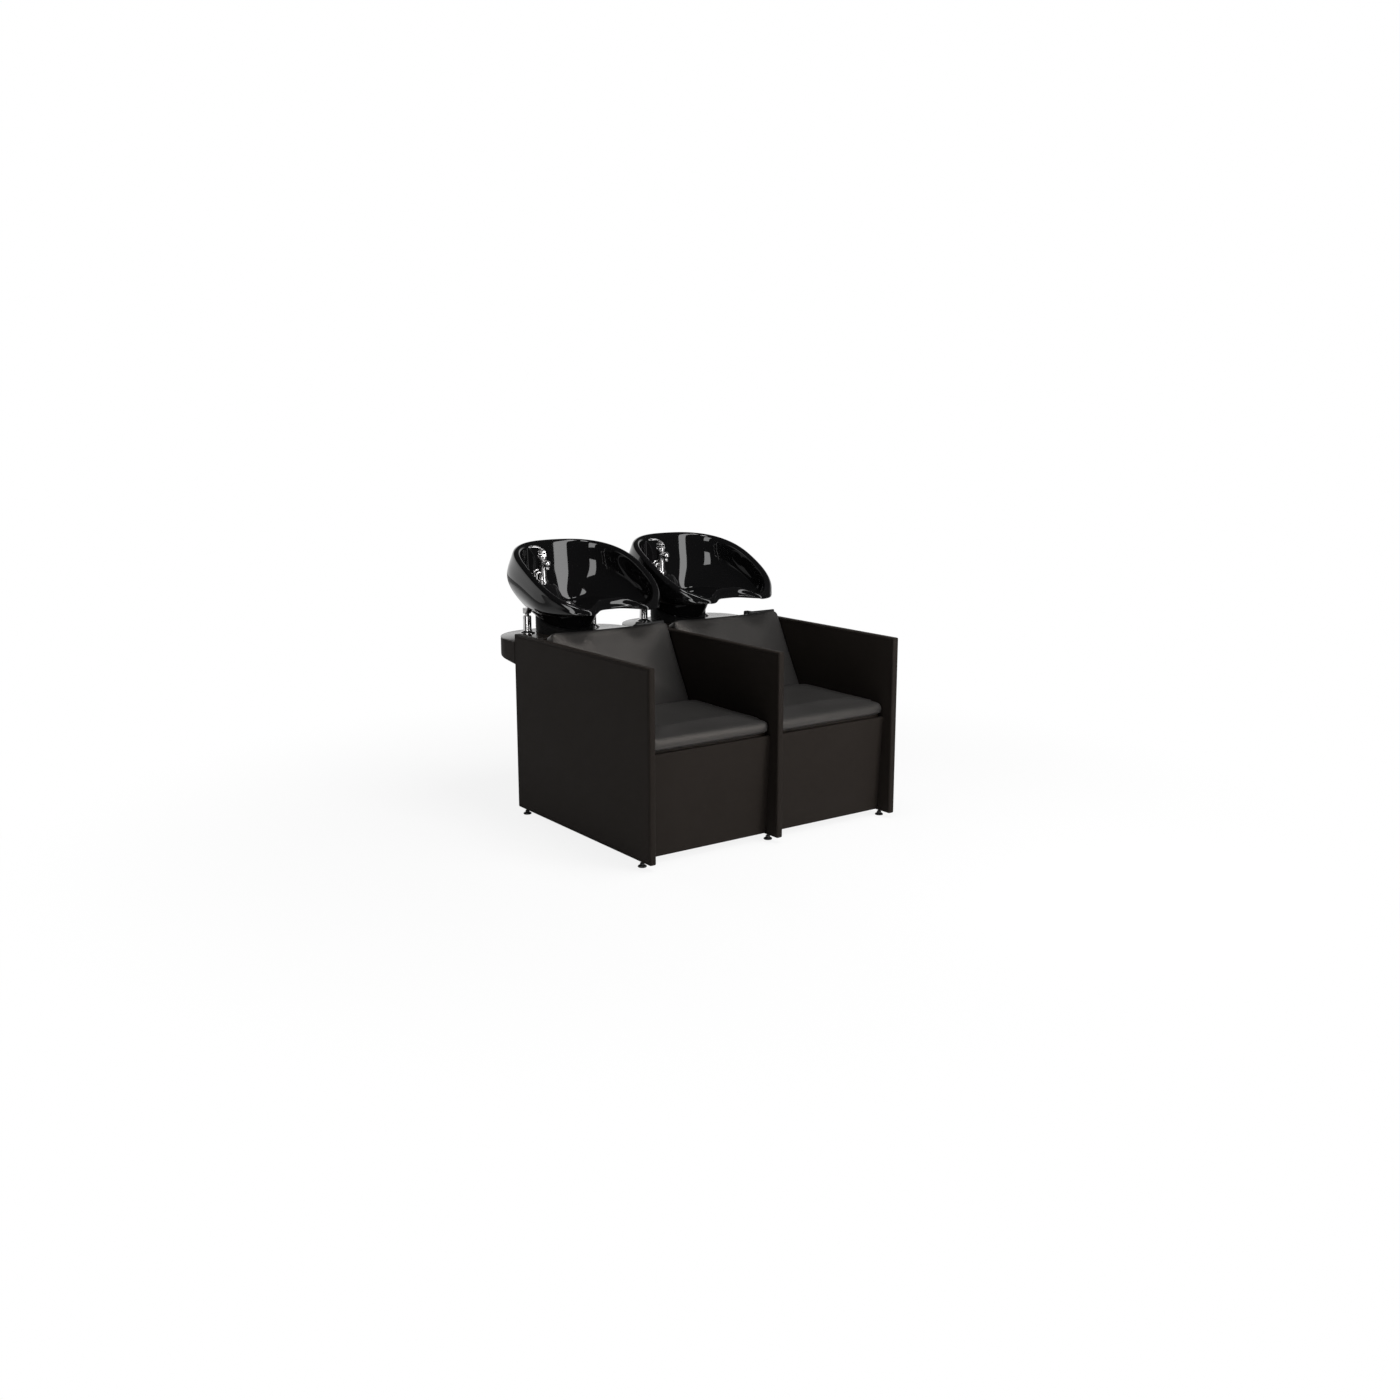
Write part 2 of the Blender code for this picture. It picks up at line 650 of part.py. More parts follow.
def bowl_rings():
    """Rings of the bowl: up its outside, over the lip and down its inside."""
    angles = bowl_angles()
    outside = spline_rings(outer_curve, angles)[::-1]
    lip = [
        [rim_point(angle, LIP_WIDTH * share, LIP_DROP * (2 * share - 1) ** 2) for angle in angles]
        for share in LIP_RING_SHARES]
    inside = spline_rings(inner_curve, angles)
    return outside, lip, inside


def bowl_shell():
    """Ceramic bowl with its hollow trunk and drain hole, in the frame of its seat's middle."""
    angles = bowl_angles()
    outside, lip, inside = bowl_rings()
    under = DRAIN_Z - FLOOR_THICKNESS
    hollow = TRUNK_RADIUS - TRUNK_WALL
    drain = [
        [ring_point(a, DRAIN_RADIUS, DRAIN_BACK, DRAIN_Z) for a in angles],
        [ring_point(a, DRAIN_RADIUS, DRAIN_BACK, under) for a in angles],
        [ring_point(a, PIPE_COLLAR_RADIUS + PIPE_COLLAR_SPARE, DRAIN_BACK, under) for a in angles],
        [ring_point(a, hollow, TRUNK_BACK, TRUNK_Z, TRUNK_SLOPE) for a in angles],
    ]
    bm = bmesh.new()
    loft(bm, outside + lip + inside + drain, True)
    bmesh.ops.recalc_face_normals(bm, faces=bm.faces)
    return bm


def bowl_block():
    """The bowl's outside as a solid block, for cutting what fits against it."""
    outside, lip, _ = bowl_rings()
    bm = bmesh.new()
    verts = loft(bm, outside + lip, False)
    for ring in (verts[0], verts[-1]):
        bm.faces.new(ring)
    bmesh.ops.recalc_face_normals(bm, faces=bm.faces)
    return bm


def underside_heights(places):
    """Heights of the bowl's underside over some places."""
    block = bowl_block()
    tree = BVHTree.FromBMesh(block)
    block.free()
    return [tree.ray_cast(Vector((x, y, 0.0)), UP)[0].z for x, y in places]


POST_TOP_Y = from_rear(POST_BACK)
PAD_CORNERS = [
    (POST_SPREAD + x, POST_TOP_Y + y)
    for x in (-LUG_PAD_WIDTH / 2, LUG_PAD_WIDTH / 2) for y in (-LUG_PAD_LENGTH / 2, LUG_PAD_LENGTH / 2)]
UNDERSIDE_Z = min(underside_heights(PAD_CORNERS))
PIVOT_Z = UNDERSIDE_Z - LUG_PAD_HEIGHT - 2 * LUG_EYE_RADIUS


def bowl(side, seat_x):
    """Ceramic bowl with the moulded seat for the mixer."""
    pivot = (seat_x, POST_TOP_Y, PIVOT_Z)
    shell = bowl_shell()
    bmesh.ops.translate(shell, verts=shell.verts, vec=(seat_x, 0.0, 0.0))
    piece = piece_from(f"{side}_bowl", shell, "ceramic", pivot)

    seat_place = Vector((seat_x + MIXER_X - MIXER_SEAT_SHIFT, from_rear(MIXER_BACK), 0.0))
    pad = cylinder_mesh(
        seat_place + UP * DRAIN_Z, seat_place + UP * from_base(MIXER_SEAT_Z), MIXER_SEAT_RADIUS, 32)
    pad_cutter = cutter_from(f"{side}_mixer_seat", pad)
    block = bowl_block()
    bmesh.ops.translate(block, verts=block.verts, vec=-RIM_MIDDLE)
    bmesh.ops.scale(block, verts=block.verts, vec=(SEAT_BLOCK_SHARE,) * 3)
    bmesh.ops.translate(block, verts=block.verts, vec=RIM_MIDDLE + Vector((seat_x, 0.0, 0.0)))
    inside_block = cutter_from(f"{side}_bowl_block", block)
    combine(pad_cutter, inside_block, "INTERSECT")
    combine(piece, pad_cutter, "UNION")
    return piece


def posts(side, seat_x):
    """Two chrome posts with forked heads, the lugs under the bowl and their pivot pins."""
    base = from_base(SHELF_TOP) + GAP
    fork_width = LUG_THICKNESS + 2 * RUNNING_GAP
    block = bowl_block()
    bmesh.ops.translate(block, verts=block.verts, vec=(seat_x, 0.0, -GAP))
    block_cutter = cutter_from(f"{side}_lug_top", block)
    for mark, offset in (("a", -POST_SPREAD), ("b", POST_SPREAD)):
        x = seat_x + offset
        pivot = Vector((x, POST_TOP_Y, PIVOT_Z))
        head = PIVOT_Z + LUG_EYE_RADIUS
        post = turned(f"{side}_bowl_post_{mark}", [
            (0.0, head - base),
            (POST_RADIUS - POST_CHAMFER, head - base),
            (POST_RADIUS, head - base - POST_CHAMFER),
            (POST_RADIUS, POST_FLANGE_HEIGHT + POST_CHAMFER),
            (POST_RADIUS + POST_CHAMFER, POST_FLANGE_HEIGHT),
            (POST_FLANGE_RADIUS - POST_CHAMFER, POST_FLANGE_HEIGHT),
            (POST_FLANGE_RADIUS, POST_FLANGE_HEIGHT - POST_CHAMFER),
            (POST_FLANGE_RADIUS, 0.0),
            (0.0, 0.0),
        ], "chrome", (x, POST_TOP_Y, base), steps=20)
        slot = box_mesh(
            (x - fork_width / 2, POST_TOP_Y - 2 * POST_RADIUS, PIVOT_Z - LUG_EYE_RADIUS - 2 * GAP),
            (x + fork_width / 2, POST_TOP_Y + 2 * POST_RADIUS, head + POST_RADIUS))
        bore_end = Vector((POST_RADIUS + PIVOT_HEAD_HEIGHT, 0.0, 0.0))
        bore = cylinder_mesh(pivot - bore_end, pivot + bore_end, PIVOT_RADIUS + GAP, 12)
        bore_cutter = cutter_from(f"{side}_pivot_bore_{mark}", bore)
        combine(post, cutter_from(f"{side}_fork_slot_{mark}", slot), "DIFFERENCE")
        combine(post, bore_cutter, "DIFFERENCE")

        pad_low = PIVOT_Z + 2 * LUG_EYE_RADIUS
        lug = piece_from(f"{side}_tilt_lug_{mark}", box_mesh(
            (x - LUG_PAD_WIDTH / 2, POST_TOP_Y - LUG_PAD_LENGTH / 2, pad_low),
            (x + LUG_PAD_WIDTH / 2, POST_TOP_Y + LUG_PAD_LENGTH / 2, UNDERSIDE_Z + LUG_PAD_GRIP)),
            "chrome", pivot)
        half_plate = Vector((LUG_THICKNESS / 2, 0.0, 0.0))
        eye = cylinder_mesh(pivot - half_plate, pivot + half_plate, LUG_EYE_RADIUS, 16)
        plate = box_mesh(
            (x - LUG_THICKNESS / 2, POST_TOP_Y - LUG_EYE_RADIUS, PIVOT_Z),
            (x + LUG_THICKNESS / 2, POST_TOP_Y + LUG_EYE_RADIUS, pad_low + LUG_PAD_HEIGHT / 2))
        combine(lug, cutter_from(f"{side}_lug_plate_{mark}", plate), "UNION")
        combine(lug, cutter_from(f"{side}_lug_eye_{mark}", eye), "UNION")
        combine(lug, bore_cutter, "DIFFERENCE")
        combine(lug, block_cutter, "DIFFERENCE")

        grip = POST_RADIUS + GAP
        pin = turned(f"{side}_pivot_pin_{mark}", [
            (0.0, grip + PIVOT_HEAD_HEIGHT),
            (PIVOT_HEAD_RADIUS, grip + PIVOT_HEAD_HEIGHT),
            (PIVOT_HEAD_RADIUS, grip),
            (PIVOT_RADIUS, grip),
            (PIVOT_RADIUS, -grip),
            (PIVOT_HEAD_RADIUS, -grip),
            (PIVOT_HEAD_RADIUS, -grip - PIVOT_HEAD_HEIGHT),
            (0.0, -grip - PIVOT_HEAD_HEIGHT),
        ], "steel", pivot, steps=12)
        pin.rotation_euler.y = math.pi / 2


def bellows(side, seat_x):
    """Ribbed rubber sleeve between the shelf and the bowl's trunk."""
    place = Vector((seat_x, from_rear(TRUNK_BACK), from_base(SHELF_TOP) + GAP))
    height = TRUNK_CLEAR - 2 * GAP
    crest = TRUNK_RADIUS + BELLOWS_OVERHANG
    valley = crest - BELLOWS_RIB_HEIGHT
    bore = valley - BELLOWS_WALL
    points = [(bore, 0.0), (crest, 0.0)]
    for rib in range(BELLOWS_RIBS):
        points += [(valley, (rib + 0.5) / BELLOWS_RIBS), (crest, (rib + 1.0) / BELLOWS_RIBS)]
    points.append((bore, 1.0))
    bm = bmesh.new()
    verts = [bm.verts.new((radius, 0.0, share)) for radius, share in points]
    edges = [bm.edges.new(pair) for pair in zip(verts, verts[1:] + verts[:1])]
    bmesh.ops.spin(
        bm, geom=verts + edges, axis=UP, cent=(0.0, 0.0, 0.0), angle=2 * math.pi,
        steps=BELLOWS_SEGMENTS, use_merge=True)
    for vert in bm.verts:
        vert.co.z *= height + vert.co.y * TRUNK_SLOPE
    bmesh.ops.translate(bm, verts=bm.verts, vec=place)
    bmesh.ops.recalc_face_normals(bm, faces=bm.faces)
    piece_from(f"{side}_bellows", bm, "rubber", place)


def waste(side, seat_x):
    """Strainer in the drain and the waste pipe clamped under it."""
    place = Vector((seat_x, from_rear(DRAIN_BACK), DRAIN_Z + GAP))
    strainer = turned(f"{side}_waste_strainer", [
        (0.0, STRAINER_HEIGHT),
        (STRAINER_SHANK_RADIUS, STRAINER_HEIGHT),
        (STRAINER_RADIUS - STRAINER_HEIGHT / 2, STRAINER_HEIGHT / 2),
        (STRAINER_RADIUS, 0.0),
        (STRAINER_SHANK_RADIUS, 0.0),
        (STRAINER_SHANK_RADIUS, -STRAINER_SHANK_LENGTH),
        (STRAINER_SHANK_RADIUS - PIPE_WALL, -STRAINER_SHANK_LENGTH),
        (STRAINER_SHANK_RADIUS - PIPE_WALL, -STRAINER_HEIGHT),
        (0.0, -STRAINER_HEIGHT),
    ], "chrome", place, steps=16)
    for index in range(STRAINER_HOLES):
        angle = 2 * math.pi * index / STRAINER_HOLES
        spread = (STRAINER_SHANK_RADIUS - PIPE_WALL) * STRAINER_HOLE_SPREAD
        middle = place + Vector((math.cos(angle), math.sin(angle), 0.0)) * spread
        hole = cylinder_mesh(
            middle - UP * 2 * STRAINER_HEIGHT, middle + UP * 2 * STRAINER_HEIGHT, STRAINER_HOLE_RADIUS, 8)
        combine(strainer, cutter_from(f"{side}_strainer_hole_{index}", hole), "DIFFERENCE")

    under = DRAIN_Z - FLOOR_THICKNESS - GAP
    bore = STRAINER_SHANK_RADIUS + GAP
    outer = bore + PIPE_WALL
    length = under - from_base(SHELF_TOP - PIPE_BELOW_DECK)
    turned(f"{side}_waste_pipe", [
        (bore, 0.0),
        (PIPE_COLLAR_RADIUS, 0.0),
        (PIPE_COLLAR_RADIUS, -PIPE_COLLAR_HEIGHT),
        (outer, -PIPE_COLLAR_HEIGHT),
        (outer, -length),
        (bore, -length),
    ], "pipe", (seat_x, from_rear(DRAIN_BACK), under), steps=16, closed=True)


def mixer(side, seat_x):
    """Mixer body with its spout, the turning cap, the lever, the spray head and the supply pipe."""
    foot = Vector((seat_x + MIXER_X, from_rear(MIXER_BACK), from_base(MIXER_SEAT_Z) + GAP))
    body = turned(f"{side}_mixer_body", [
        (0.0, MIXER_HEIGHT),
        (MIXER_RADIUS, MIXER_HEIGHT),
        (MIXER_RADIUS, 2 * MIXER_FLANGE_HEIGHT),
        (MIXER_FLANGE_RADIUS, MIXER_FLANGE_HEIGHT),
        (MIXER_FLANGE_RADIUS, 0.0),
        (0.0, 0.0),
    ], "chrome", foot, steps=20)
    axis = foot + UP * SPOUT_RISE
    mouth = axis - Vector((0.0, SPOUT_LENGTH, 0.0))
    deep = mouth + Vector((0.0, SPRAY_TAIL_LENGTH + GAP, 0.0))
    spout = cylinder_mesh(axis, mouth, SPOUT_RADIUS, 16)
    socket = cylinder_mesh(deep, mouth - Vector((0.0, SPOUT_RADIUS, 0.0)), SPRAY_TAIL_RADIUS + GAP, 16)
    combine(body, cutter_from(f"{side}_spout", spout), "UNION")
    combine(body, cutter_from(f"{side}_spray_socket", socket), "DIFFERENCE")

    ball = mouth - Vector((0.0, SPRAY_BALL_OUT + GAP, 0.0))
    collar_face = mouth - Vector((0.0, GAP, 0.0))
    beside = Vector((2 * SPRAY_BALL_RADIUS, 0.0, 2 * SPRAY_BALL_RADIUS))
    head = bmesh.new()
    bmesh.ops.create_uvsphere(head, u_segments=16, v_segments=10, radius=SPRAY_BALL_RADIUS)
    bmesh.ops.translate(head, verts=head.verts, vec=ball)
    spray = piece_from(f"{side}_spray_head", head, "chrome", ball)
    ball_stop = box_mesh(
        collar_face - beside, collar_face + beside + Vector((0.0, SPRAY_BALL_RADIUS, 0.0)))
    tail = cylinder_mesh(ball, mouth + Vector((0.0, SPRAY_TAIL_LENGTH, 0.0)), SPRAY_TAIL_RADIUS, 16)
    nozzle = cylinder_mesh(
        ball, ball - UP * SPRAY_NOZZLE_LENGTH, SPRAY_TAIL_RADIUS, 16, SPRAY_NOZZLE_RADIUS)
    combine(spray, cutter_from(f"{side}_ball_stop", ball_stop), "DIFFERENCE")
    combine(spray, cutter_from(f"{side}_spray_tail", tail), "UNION")
    combine(spray, cutter_from(f"{side}_spray_nozzle", nozzle), "UNION")

    cap_base = foot + UP * (MIXER_HEIGHT + GAP)
    cap = turned(f"{side}_mixer_cap", [
        (0.0, CAP_HEIGHT),
        (CAP_RADIUS - CAP_CHAMFER, CAP_HEIGHT),
        (CAP_RADIUS, CAP_HEIGHT - CAP_CHAMFER),
        (CAP_RADIUS, 0.0),
        (0.0, 0.0),
    ], "chrome", cap_base, steps=20)
    pivot = cap_base + UP * (CAP_HEIGHT + CAP_EAR_HEIGHT - LEVER_BARREL_RADIUS)
    half_slot = LEVER_WIDTH / 2 + RUNNING_GAP
    for mark, way in (("front", -1.0), ("rear", 1.0)):
        near, far = way * half_slot, way * (half_slot + CAP_EAR_THICKNESS)
        ear = box_mesh(
            cap_base + Vector((-CAP_EAR_WIDTH / 2, min(near, far), CAP_HEIGHT / 2)),
            cap_base + Vector((CAP_EAR_WIDTH / 2, max(near, far), CAP_HEIGHT + CAP_EAR_HEIGHT)))
        combine(cap, cutter_from(f"{side}_cap_ear_{mark}", ear), "UNION")
    trunnion_reach = half_slot + CAP_EAR_THICKNESS - RUNNING_GAP
    reach = Vector((0.0, trunnion_reach, 0.0))
    bore = cylinder_mesh(pivot - 2 * reach, pivot + 2 * reach, LEVER_TRUNNION_RADIUS + GAP, 12)
    combine(cap, cutter_from(f"{side}_lever_bore", bore), "DIFFERENCE")

    barrel_half = Vector((0.0, LEVER_WIDTH / 2, 0.0))
    lever = piece_from(
        f"{side}_mixer_lever",
        cylinder_mesh(pivot - barrel_half, pivot + barrel_half, LEVER_BARREL_RADIUS, 16),
        "chrome", pivot)
    trunnion = cylinder_mesh(pivot - reach, pivot + reach, LEVER_TRUNNION_RADIUS, 12)
    blade = box_mesh(
        (-LEVER_LENGTH, -LEVER_WIDTH / 2, LEVER_BARREL_RADIUS - LEVER_THICKNESS),
        (LEVER_HEEL, LEVER_WIDTH / 2, LEVER_BARREL_RADIUS))
    for vert in blade.verts:
        if vert.co.x < -LEVER_LENGTH / 2:
            vert.co.y *= LEVER_TIP_SHARE
    edges = [edge for edge in blade.edges if abs(edge.verts[0].co.z - edge.verts[1].co.z) > GAP]
    tip_edges = [edge for edge in edges if edge.verts[0].co.x < -LEVER_LENGTH / 2]
    bmesh.ops.bevel(
        blade, geom=tip_edges, offset=LEVER_WIDTH * LEVER_TIP_SHARE * LEVER_TIP_ROUND, segments=5,
        profile=0.5, affect="EDGES")
    bmesh.ops.rotate(
        blade, verts=blade.verts, cent=(0.0, 0.0, 0.0), matrix=Matrix.Rotation(LEVER_RISE, 3, "Y"))
    bmesh.ops.translate(blade, verts=blade.verts, vec=pivot)
    combine(lever, cutter_from(f"{side}_lever_trunnion", trunnion), "UNION")
    combine(lever, cutter_from(f"{side}_lever_blade", blade), "UNION")

    supply_pipe(side, foot)


def supply_pipe(side, foot):
    """Bent chrome pipe from the mixer's seat into the side of its body."""
    start = foot - Vector((SUPPLY_OFFSET, 0.0, 0.0))
    straight = SUPPLY_STRAIGHT
    bend = SUPPLY_OFFSET - MIXER_RADIUS - GAP - straight
    route = [start, start + UP * (SUPPLY_RISE - bend) / 2]
    steps = 5
    centre = start + Vector((bend, 0.0, SUPPLY_RISE - bend))
    for step in range(steps + 1):
        angle = math.pi / 2 * step / steps
        route.append(centre + Vector((-math.cos(angle), 0.0, math.sin(angle))) * bend)
    route.append(route[-1] + Vector((straight, 0.0, 0.0)))
    curve = bpy.data.curves.new(f"{side}_supply_route", "CURVE")
    curve.dimensions = "3D"
    curve.bevel_depth = SUPPLY_RADIUS
    curve.bevel_resolution = 2
    curve.use_fill_caps = True
    spline = curve.splines.new("POLY")
    spline.points.add(len(route) - 1)
    for point, place in zip(spline.points, route):
        point.co = (*(place - start), 1.0)
    curve.materials.append(FINISHES["chrome"])
    pipe = bpy.data.objects.new(f"{side}_supply_pipe", curve)
    pipe.location = start
    UNIT.objects.link(pipe)


side_panels_and_feet()
for station, station_x in (("left", -SEAT_X), ("right", SEAT_X)):
    seat(station, station_x)
    shelf(station, station_x)
    bowl(station, station_x)
    posts(station, station_x)
    bellows(station, station_x)
    waste(station, station_x)
    mixer(station, station_x)
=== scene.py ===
"""Looks of a two-seat shampoo backwash unit: upholstery, glazed bowls, chrome fittings, light and camera.

Metres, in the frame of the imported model: +X to the right-hand seat, +Y from the seats to the bowls, +Z up.
"""
import json
import math

import bmesh
import bpy
from mathutils import Matrix, Vector


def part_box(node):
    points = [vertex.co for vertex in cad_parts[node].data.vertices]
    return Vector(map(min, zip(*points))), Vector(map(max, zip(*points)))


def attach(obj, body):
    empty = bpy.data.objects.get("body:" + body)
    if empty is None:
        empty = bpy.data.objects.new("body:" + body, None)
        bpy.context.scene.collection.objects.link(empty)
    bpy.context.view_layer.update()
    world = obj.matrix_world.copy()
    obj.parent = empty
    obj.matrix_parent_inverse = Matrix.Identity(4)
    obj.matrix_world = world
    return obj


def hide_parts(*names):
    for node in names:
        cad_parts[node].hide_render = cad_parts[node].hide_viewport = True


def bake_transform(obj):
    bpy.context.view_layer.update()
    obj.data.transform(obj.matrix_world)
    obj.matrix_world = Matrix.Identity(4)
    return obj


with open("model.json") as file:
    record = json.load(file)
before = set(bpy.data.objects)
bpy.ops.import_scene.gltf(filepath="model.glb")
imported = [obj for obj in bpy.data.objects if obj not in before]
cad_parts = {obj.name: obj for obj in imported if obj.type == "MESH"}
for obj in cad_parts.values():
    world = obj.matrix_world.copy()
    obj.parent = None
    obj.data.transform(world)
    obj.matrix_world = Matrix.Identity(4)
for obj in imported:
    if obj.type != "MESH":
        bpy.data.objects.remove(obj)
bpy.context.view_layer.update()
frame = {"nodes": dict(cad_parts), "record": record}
SIDES = ("left", "right")
PANELS = ("left", "centre", "right")
UP = Vector((0.0, 0.0, 1.0))
BACK = Vector((0.0, 1.0, 0.0))
ACROSS = Vector((1.0, 0.0, 0.0))

# Camera of the photograph, whose frame is square
CAMERA_PLACE = (-3.1625, -4.4679, 1.5584)
CAMERA_TURN = (78.479, 0.0, -35.852)
CAMERA_LENS = 36.22
CAMERA_SENSOR = 36.0

# Studio
FLOOR_RADIUS = 12.0
PAPER_GLOW = 0.86
PAPER_MIRRORED = 0.2
PAPER_FADE = (0.8, 2.6)
PAPER_GREY = (0.70, 0.70, 0.70)
BACKDROP_SIDE = (0.05, 0.45)
BACKDROP_TOP = (0.28, 0.42)
ROOM_GREY = (0.035, 0.035, 0.036)
AMBIENT_GREY = (0.08, 0.08, 0.08)
WHITE = (1.0, 1.0, 1.0)
BOWLS_MIDDLE = Vector((0.0, 0.5, 0.95))
SOFTBOX_DISTANCE = 3.5
# Lights that the bowls mirror: name, degrees to the right of straight ahead, degrees up, width and height,
# watts, and whether the light also falls on matt parts
SOFTBOXES = (
    ("right_softbox", 20.0, 20.0, (0.85, 4.2), 58.0, True),
    ("left_softbox", -42.0, 20.0, (0.95, 2.1), 30.0, False),
)
# Lights that nothing mirrors: name, place, target, width and height, watts
FILLS = (
    ("front_fill", (0.9, -4.6, 2.0), (0.0, 0.0, 0.4), (2.4, 2.4), 112.0),
    ("overhead", (0.2, -0.9, 3.6), (0.0, -0.2, 0.4), (1.3, 1.3), 82.0),
    ("left_fill", (-4.2, -0.9, 2.0), (0.0, 0.0, 0.4), (2.0, 2.0), 28.0),
    ("rear_fill", (-0.8, 4.4, 2.4), (0.0, 0.4, 0.5), (2.4, 2.4), 80.0),
)
# Small lights that are only mirrored: name and place
SPOTS = (("left_spot", (-0.25, -0.9, 3.6)), ("right_spot", (0.65, -0.9, 3.6)))
SPOT_SIZE = (0.5, 0.5)
SPOT_POWER = 10.0

# Upholstery
PANEL_ROUND = 0.0055
SEAM_INSET = 0.0045
SEAM_WIDTH = 0.0022
SEAM_DEPTH = 0.0016
APRON_ROUND = 0.0054
APRON_THICKNESS = 0.018
REAR_ROUND = 0.002
BOARD_ROUND = 0.0015
BOARD_UNDER_BACK = 0.0085
REAR_REACH = Vector((0.001, 0.0, 0.0))
CUSHION_VOXEL = 0.006
CUSHION_FACES = {"seat": Vector((0.0, -0.2, 0.98)), "back": Vector((0.0, -0.883, 0.469))}
FACE_EDGE = 0.2
FACE_FULL = 0.45
EDGE_PASSES = 4
NOSE_LENGTH = 0.070
NOSE_PASSES = 30
CUSHION_CLOTH = {
    "quality": 4,
    "mass": 0.4,
    "use_pressure": True,
    "uniform_pressure_force": 4.0,
    "tension_stiffness": 18.0,
    "compression_stiffness": 18.0,
    "bending_stiffness": 2.0,
    "vertex_group_mass": "held",
}
CUSHION_FRAMES = 20
CUSHION_CAP = 0.022
SWELL_PASSES = 40
CUSHION_CLEAR = 0.0006
CUSHION_PROUD = 0.006
BACK_CAP_SINK = 0.002
BACK_CAP_ROUND = 0.0012
BACK_CAP_FLAT = math.radians(2.0)

# Bowl. Lengths count from the middle of its rim, and places across from the middle of its seat.
BOWL_HALF_WIDTH = 0.271
BOWL_FRONT_LENGTH = 0.291
BOWL_REAR_LENGTH = 0.311
BOWL_SQUARENESS = 2.57
RIM_MIDDLE = Vector((0.0, 0.266, 0.955))
RIM_TILT = math.radians(27.5)
RIM_ARCH_FRONT = 0.006
RIM_ARCH_REAR = 0.019
RIM_ARCH_SPAN = 0.200
LIP_WIDTH = 0.031
LIP_DROP = 0.012
LIP_BOTTOM = 0.817
LIP_SETBACK = 0.010
LIP_PULL = 0.6
LIP_TUCK = 0.91
NOTCH_HALF_WIDTH = 0.135
NOTCH_DEPTH = 0.078
NOTCH_FLATNESS = 1.8
BODY_REAR_LENGTH = 0.306
BODY_SQUARENESS = 3.6
BODY_DROP_REAR = 0.115
BODY_DROP_SIDE = 0.095
WALL_THICKNESS = 0.016
INSIDE_TAPER = 0.96
TRUNK_RADIUS = 0.113
TRUNK_WALL = 0.015
TRUNK_PLACE = Vector((0.0, 0.460, 0.7465))
TRUNK_SLOPE = math.tan(math.radians(20.5))
SHOULDER_FLARE_SIDE = 0.055
SHOULDER_FLARE_FRONT = 0.020
SHOULDER_RISE_REAR = 0.045
SHOULDER_RISE_FRONT = 0.085
DRAIN_PLACE = Vector((0.0, 0.438, 0.8065))
DRAIN_RADIUS = 0.024
DRAIN_LAND_RADIUS = 0.038
FLOOR_THICKNESS = 0.014
FLOOR_REACH_FRONT = 0.190
FLOOR_REACH_REAR = 0.058
FLOOR_RISE = 0.014
BOWL_SEGMENTS = 64
SPAN_RINGS = 4
LIP_SHARES = (0.12, 0.3, 0.5, 0.7, 0.88)
LEDGE_PLACE = Vector((-0.202, 0.366, 0.906))
LEDGE_RADIUS = 0.086
LEDGE_FALL = 0.062
LEDGE_BLEND = 0.18
LEDGE_PASSES = 120
LEDGE_CUTS = 2

# Bellows
BELLOWS_RIBS = 7
BELLOWS_CREST = 0.118
BELLOWS_VALLEY = 0.109
BELLOWS_BORE = 0.105
# Outline of one rib: radius, and share of the rib's height
BELLOWS_RIB = (
    (BELLOWS_CREST, 0.16), (BELLOWS_VALLEY, 0.42), (BELLOWS_VALLEY, 0.58), (BELLOWS_CREST, 0.84),
    (BELLOWS_CREST, 1.0))
BELLOWS_CLEAR = 0.0006
BELLOWS_SEGMENTS = 72

# Posts. A turned outline is pairs of radius and height, and a head's heights are counted from its top.
POST_RADIUS = 0.0168
POST_HEAD = (
    (0.0, 0.0), (POST_RADIUS - 0.004, 0.0), (POST_RADIUS - 0.0015, -0.0008), (POST_RADIUS, -0.0035))
POST_FOOT = (
    (POST_RADIUS, 0.0135), (POST_RADIUS + 0.0008, 0.0105), (0.0205, 0.0075), (0.0255, 0.006),
    (0.0285, 0.0045), (0.030, 0.002), (0.030, 0.0), (0.0, 0.0))
FORK_WIDTH = 0.0108
FORK_BELOW_PIVOT = 0.0096
FORK_ABOVE_PIVOT = 0.03
PIN_RADIUS = 0.004
PIN_CHAMFER = (0.001, 0.0006)
PIN_PROUD = 0.0003
LUG_THICKNESS = 0.010
LUG_RADIUS = 0.009
LUG_HEIGHT = 0.020
BOSS_RISE = 0.0170
BOSS = (
    (0.0, 0.0), (POST_RADIUS - 0.0035, 0.0), (POST_RADIUS - 0.001, 0.0008), (POST_RADIUS, 0.0025),
    (POST_RADIUS, 0.022), (0.0, 0.022))

# Mixer
COLUMN_HEAD = ((0.0, 0.0), (0.0165, 0.0), (0.018, -0.0015), (0.018, -0.010), (0.0170, -0.012))
COLUMN_FOOT = (
    (0.0170, 0.030), (0.0178, 0.014), (0.0195, 0.009), (0.0225, 0.006), (0.024, 0.0035), (0.024, 0.0),
    (0.0, 0.0))
SPOUT_HEIGHT = 0.074
SPOUT = (
    (0.0, 0.0), (0.0125, 0.0), (0.0125, 0.016), (0.0108, 0.018), (0.0108, 0.021), (0.0125, 0.0225),
    (0.0125, 0.0255), (0.0118, 0.026), (0.0, 0.026))
BALL_REACH = 0.0383
BALL_RADIUS = 0.0148
BALL_FLAT = 0.0118
TAIL_RADIUS = 0.0072
TAIL_SPAN = (0.045, 0.008)
NOZZLE = (
    (0.0, 0.022), (0.0085, 0.022), (0.0100, 0.0212), (0.0102, 0.0185), (0.0092, 0.0178), (0.0092, 0.0165),
    (0.0098, 0.0160), (0.0086, 0.010), (0.0, 0.006))
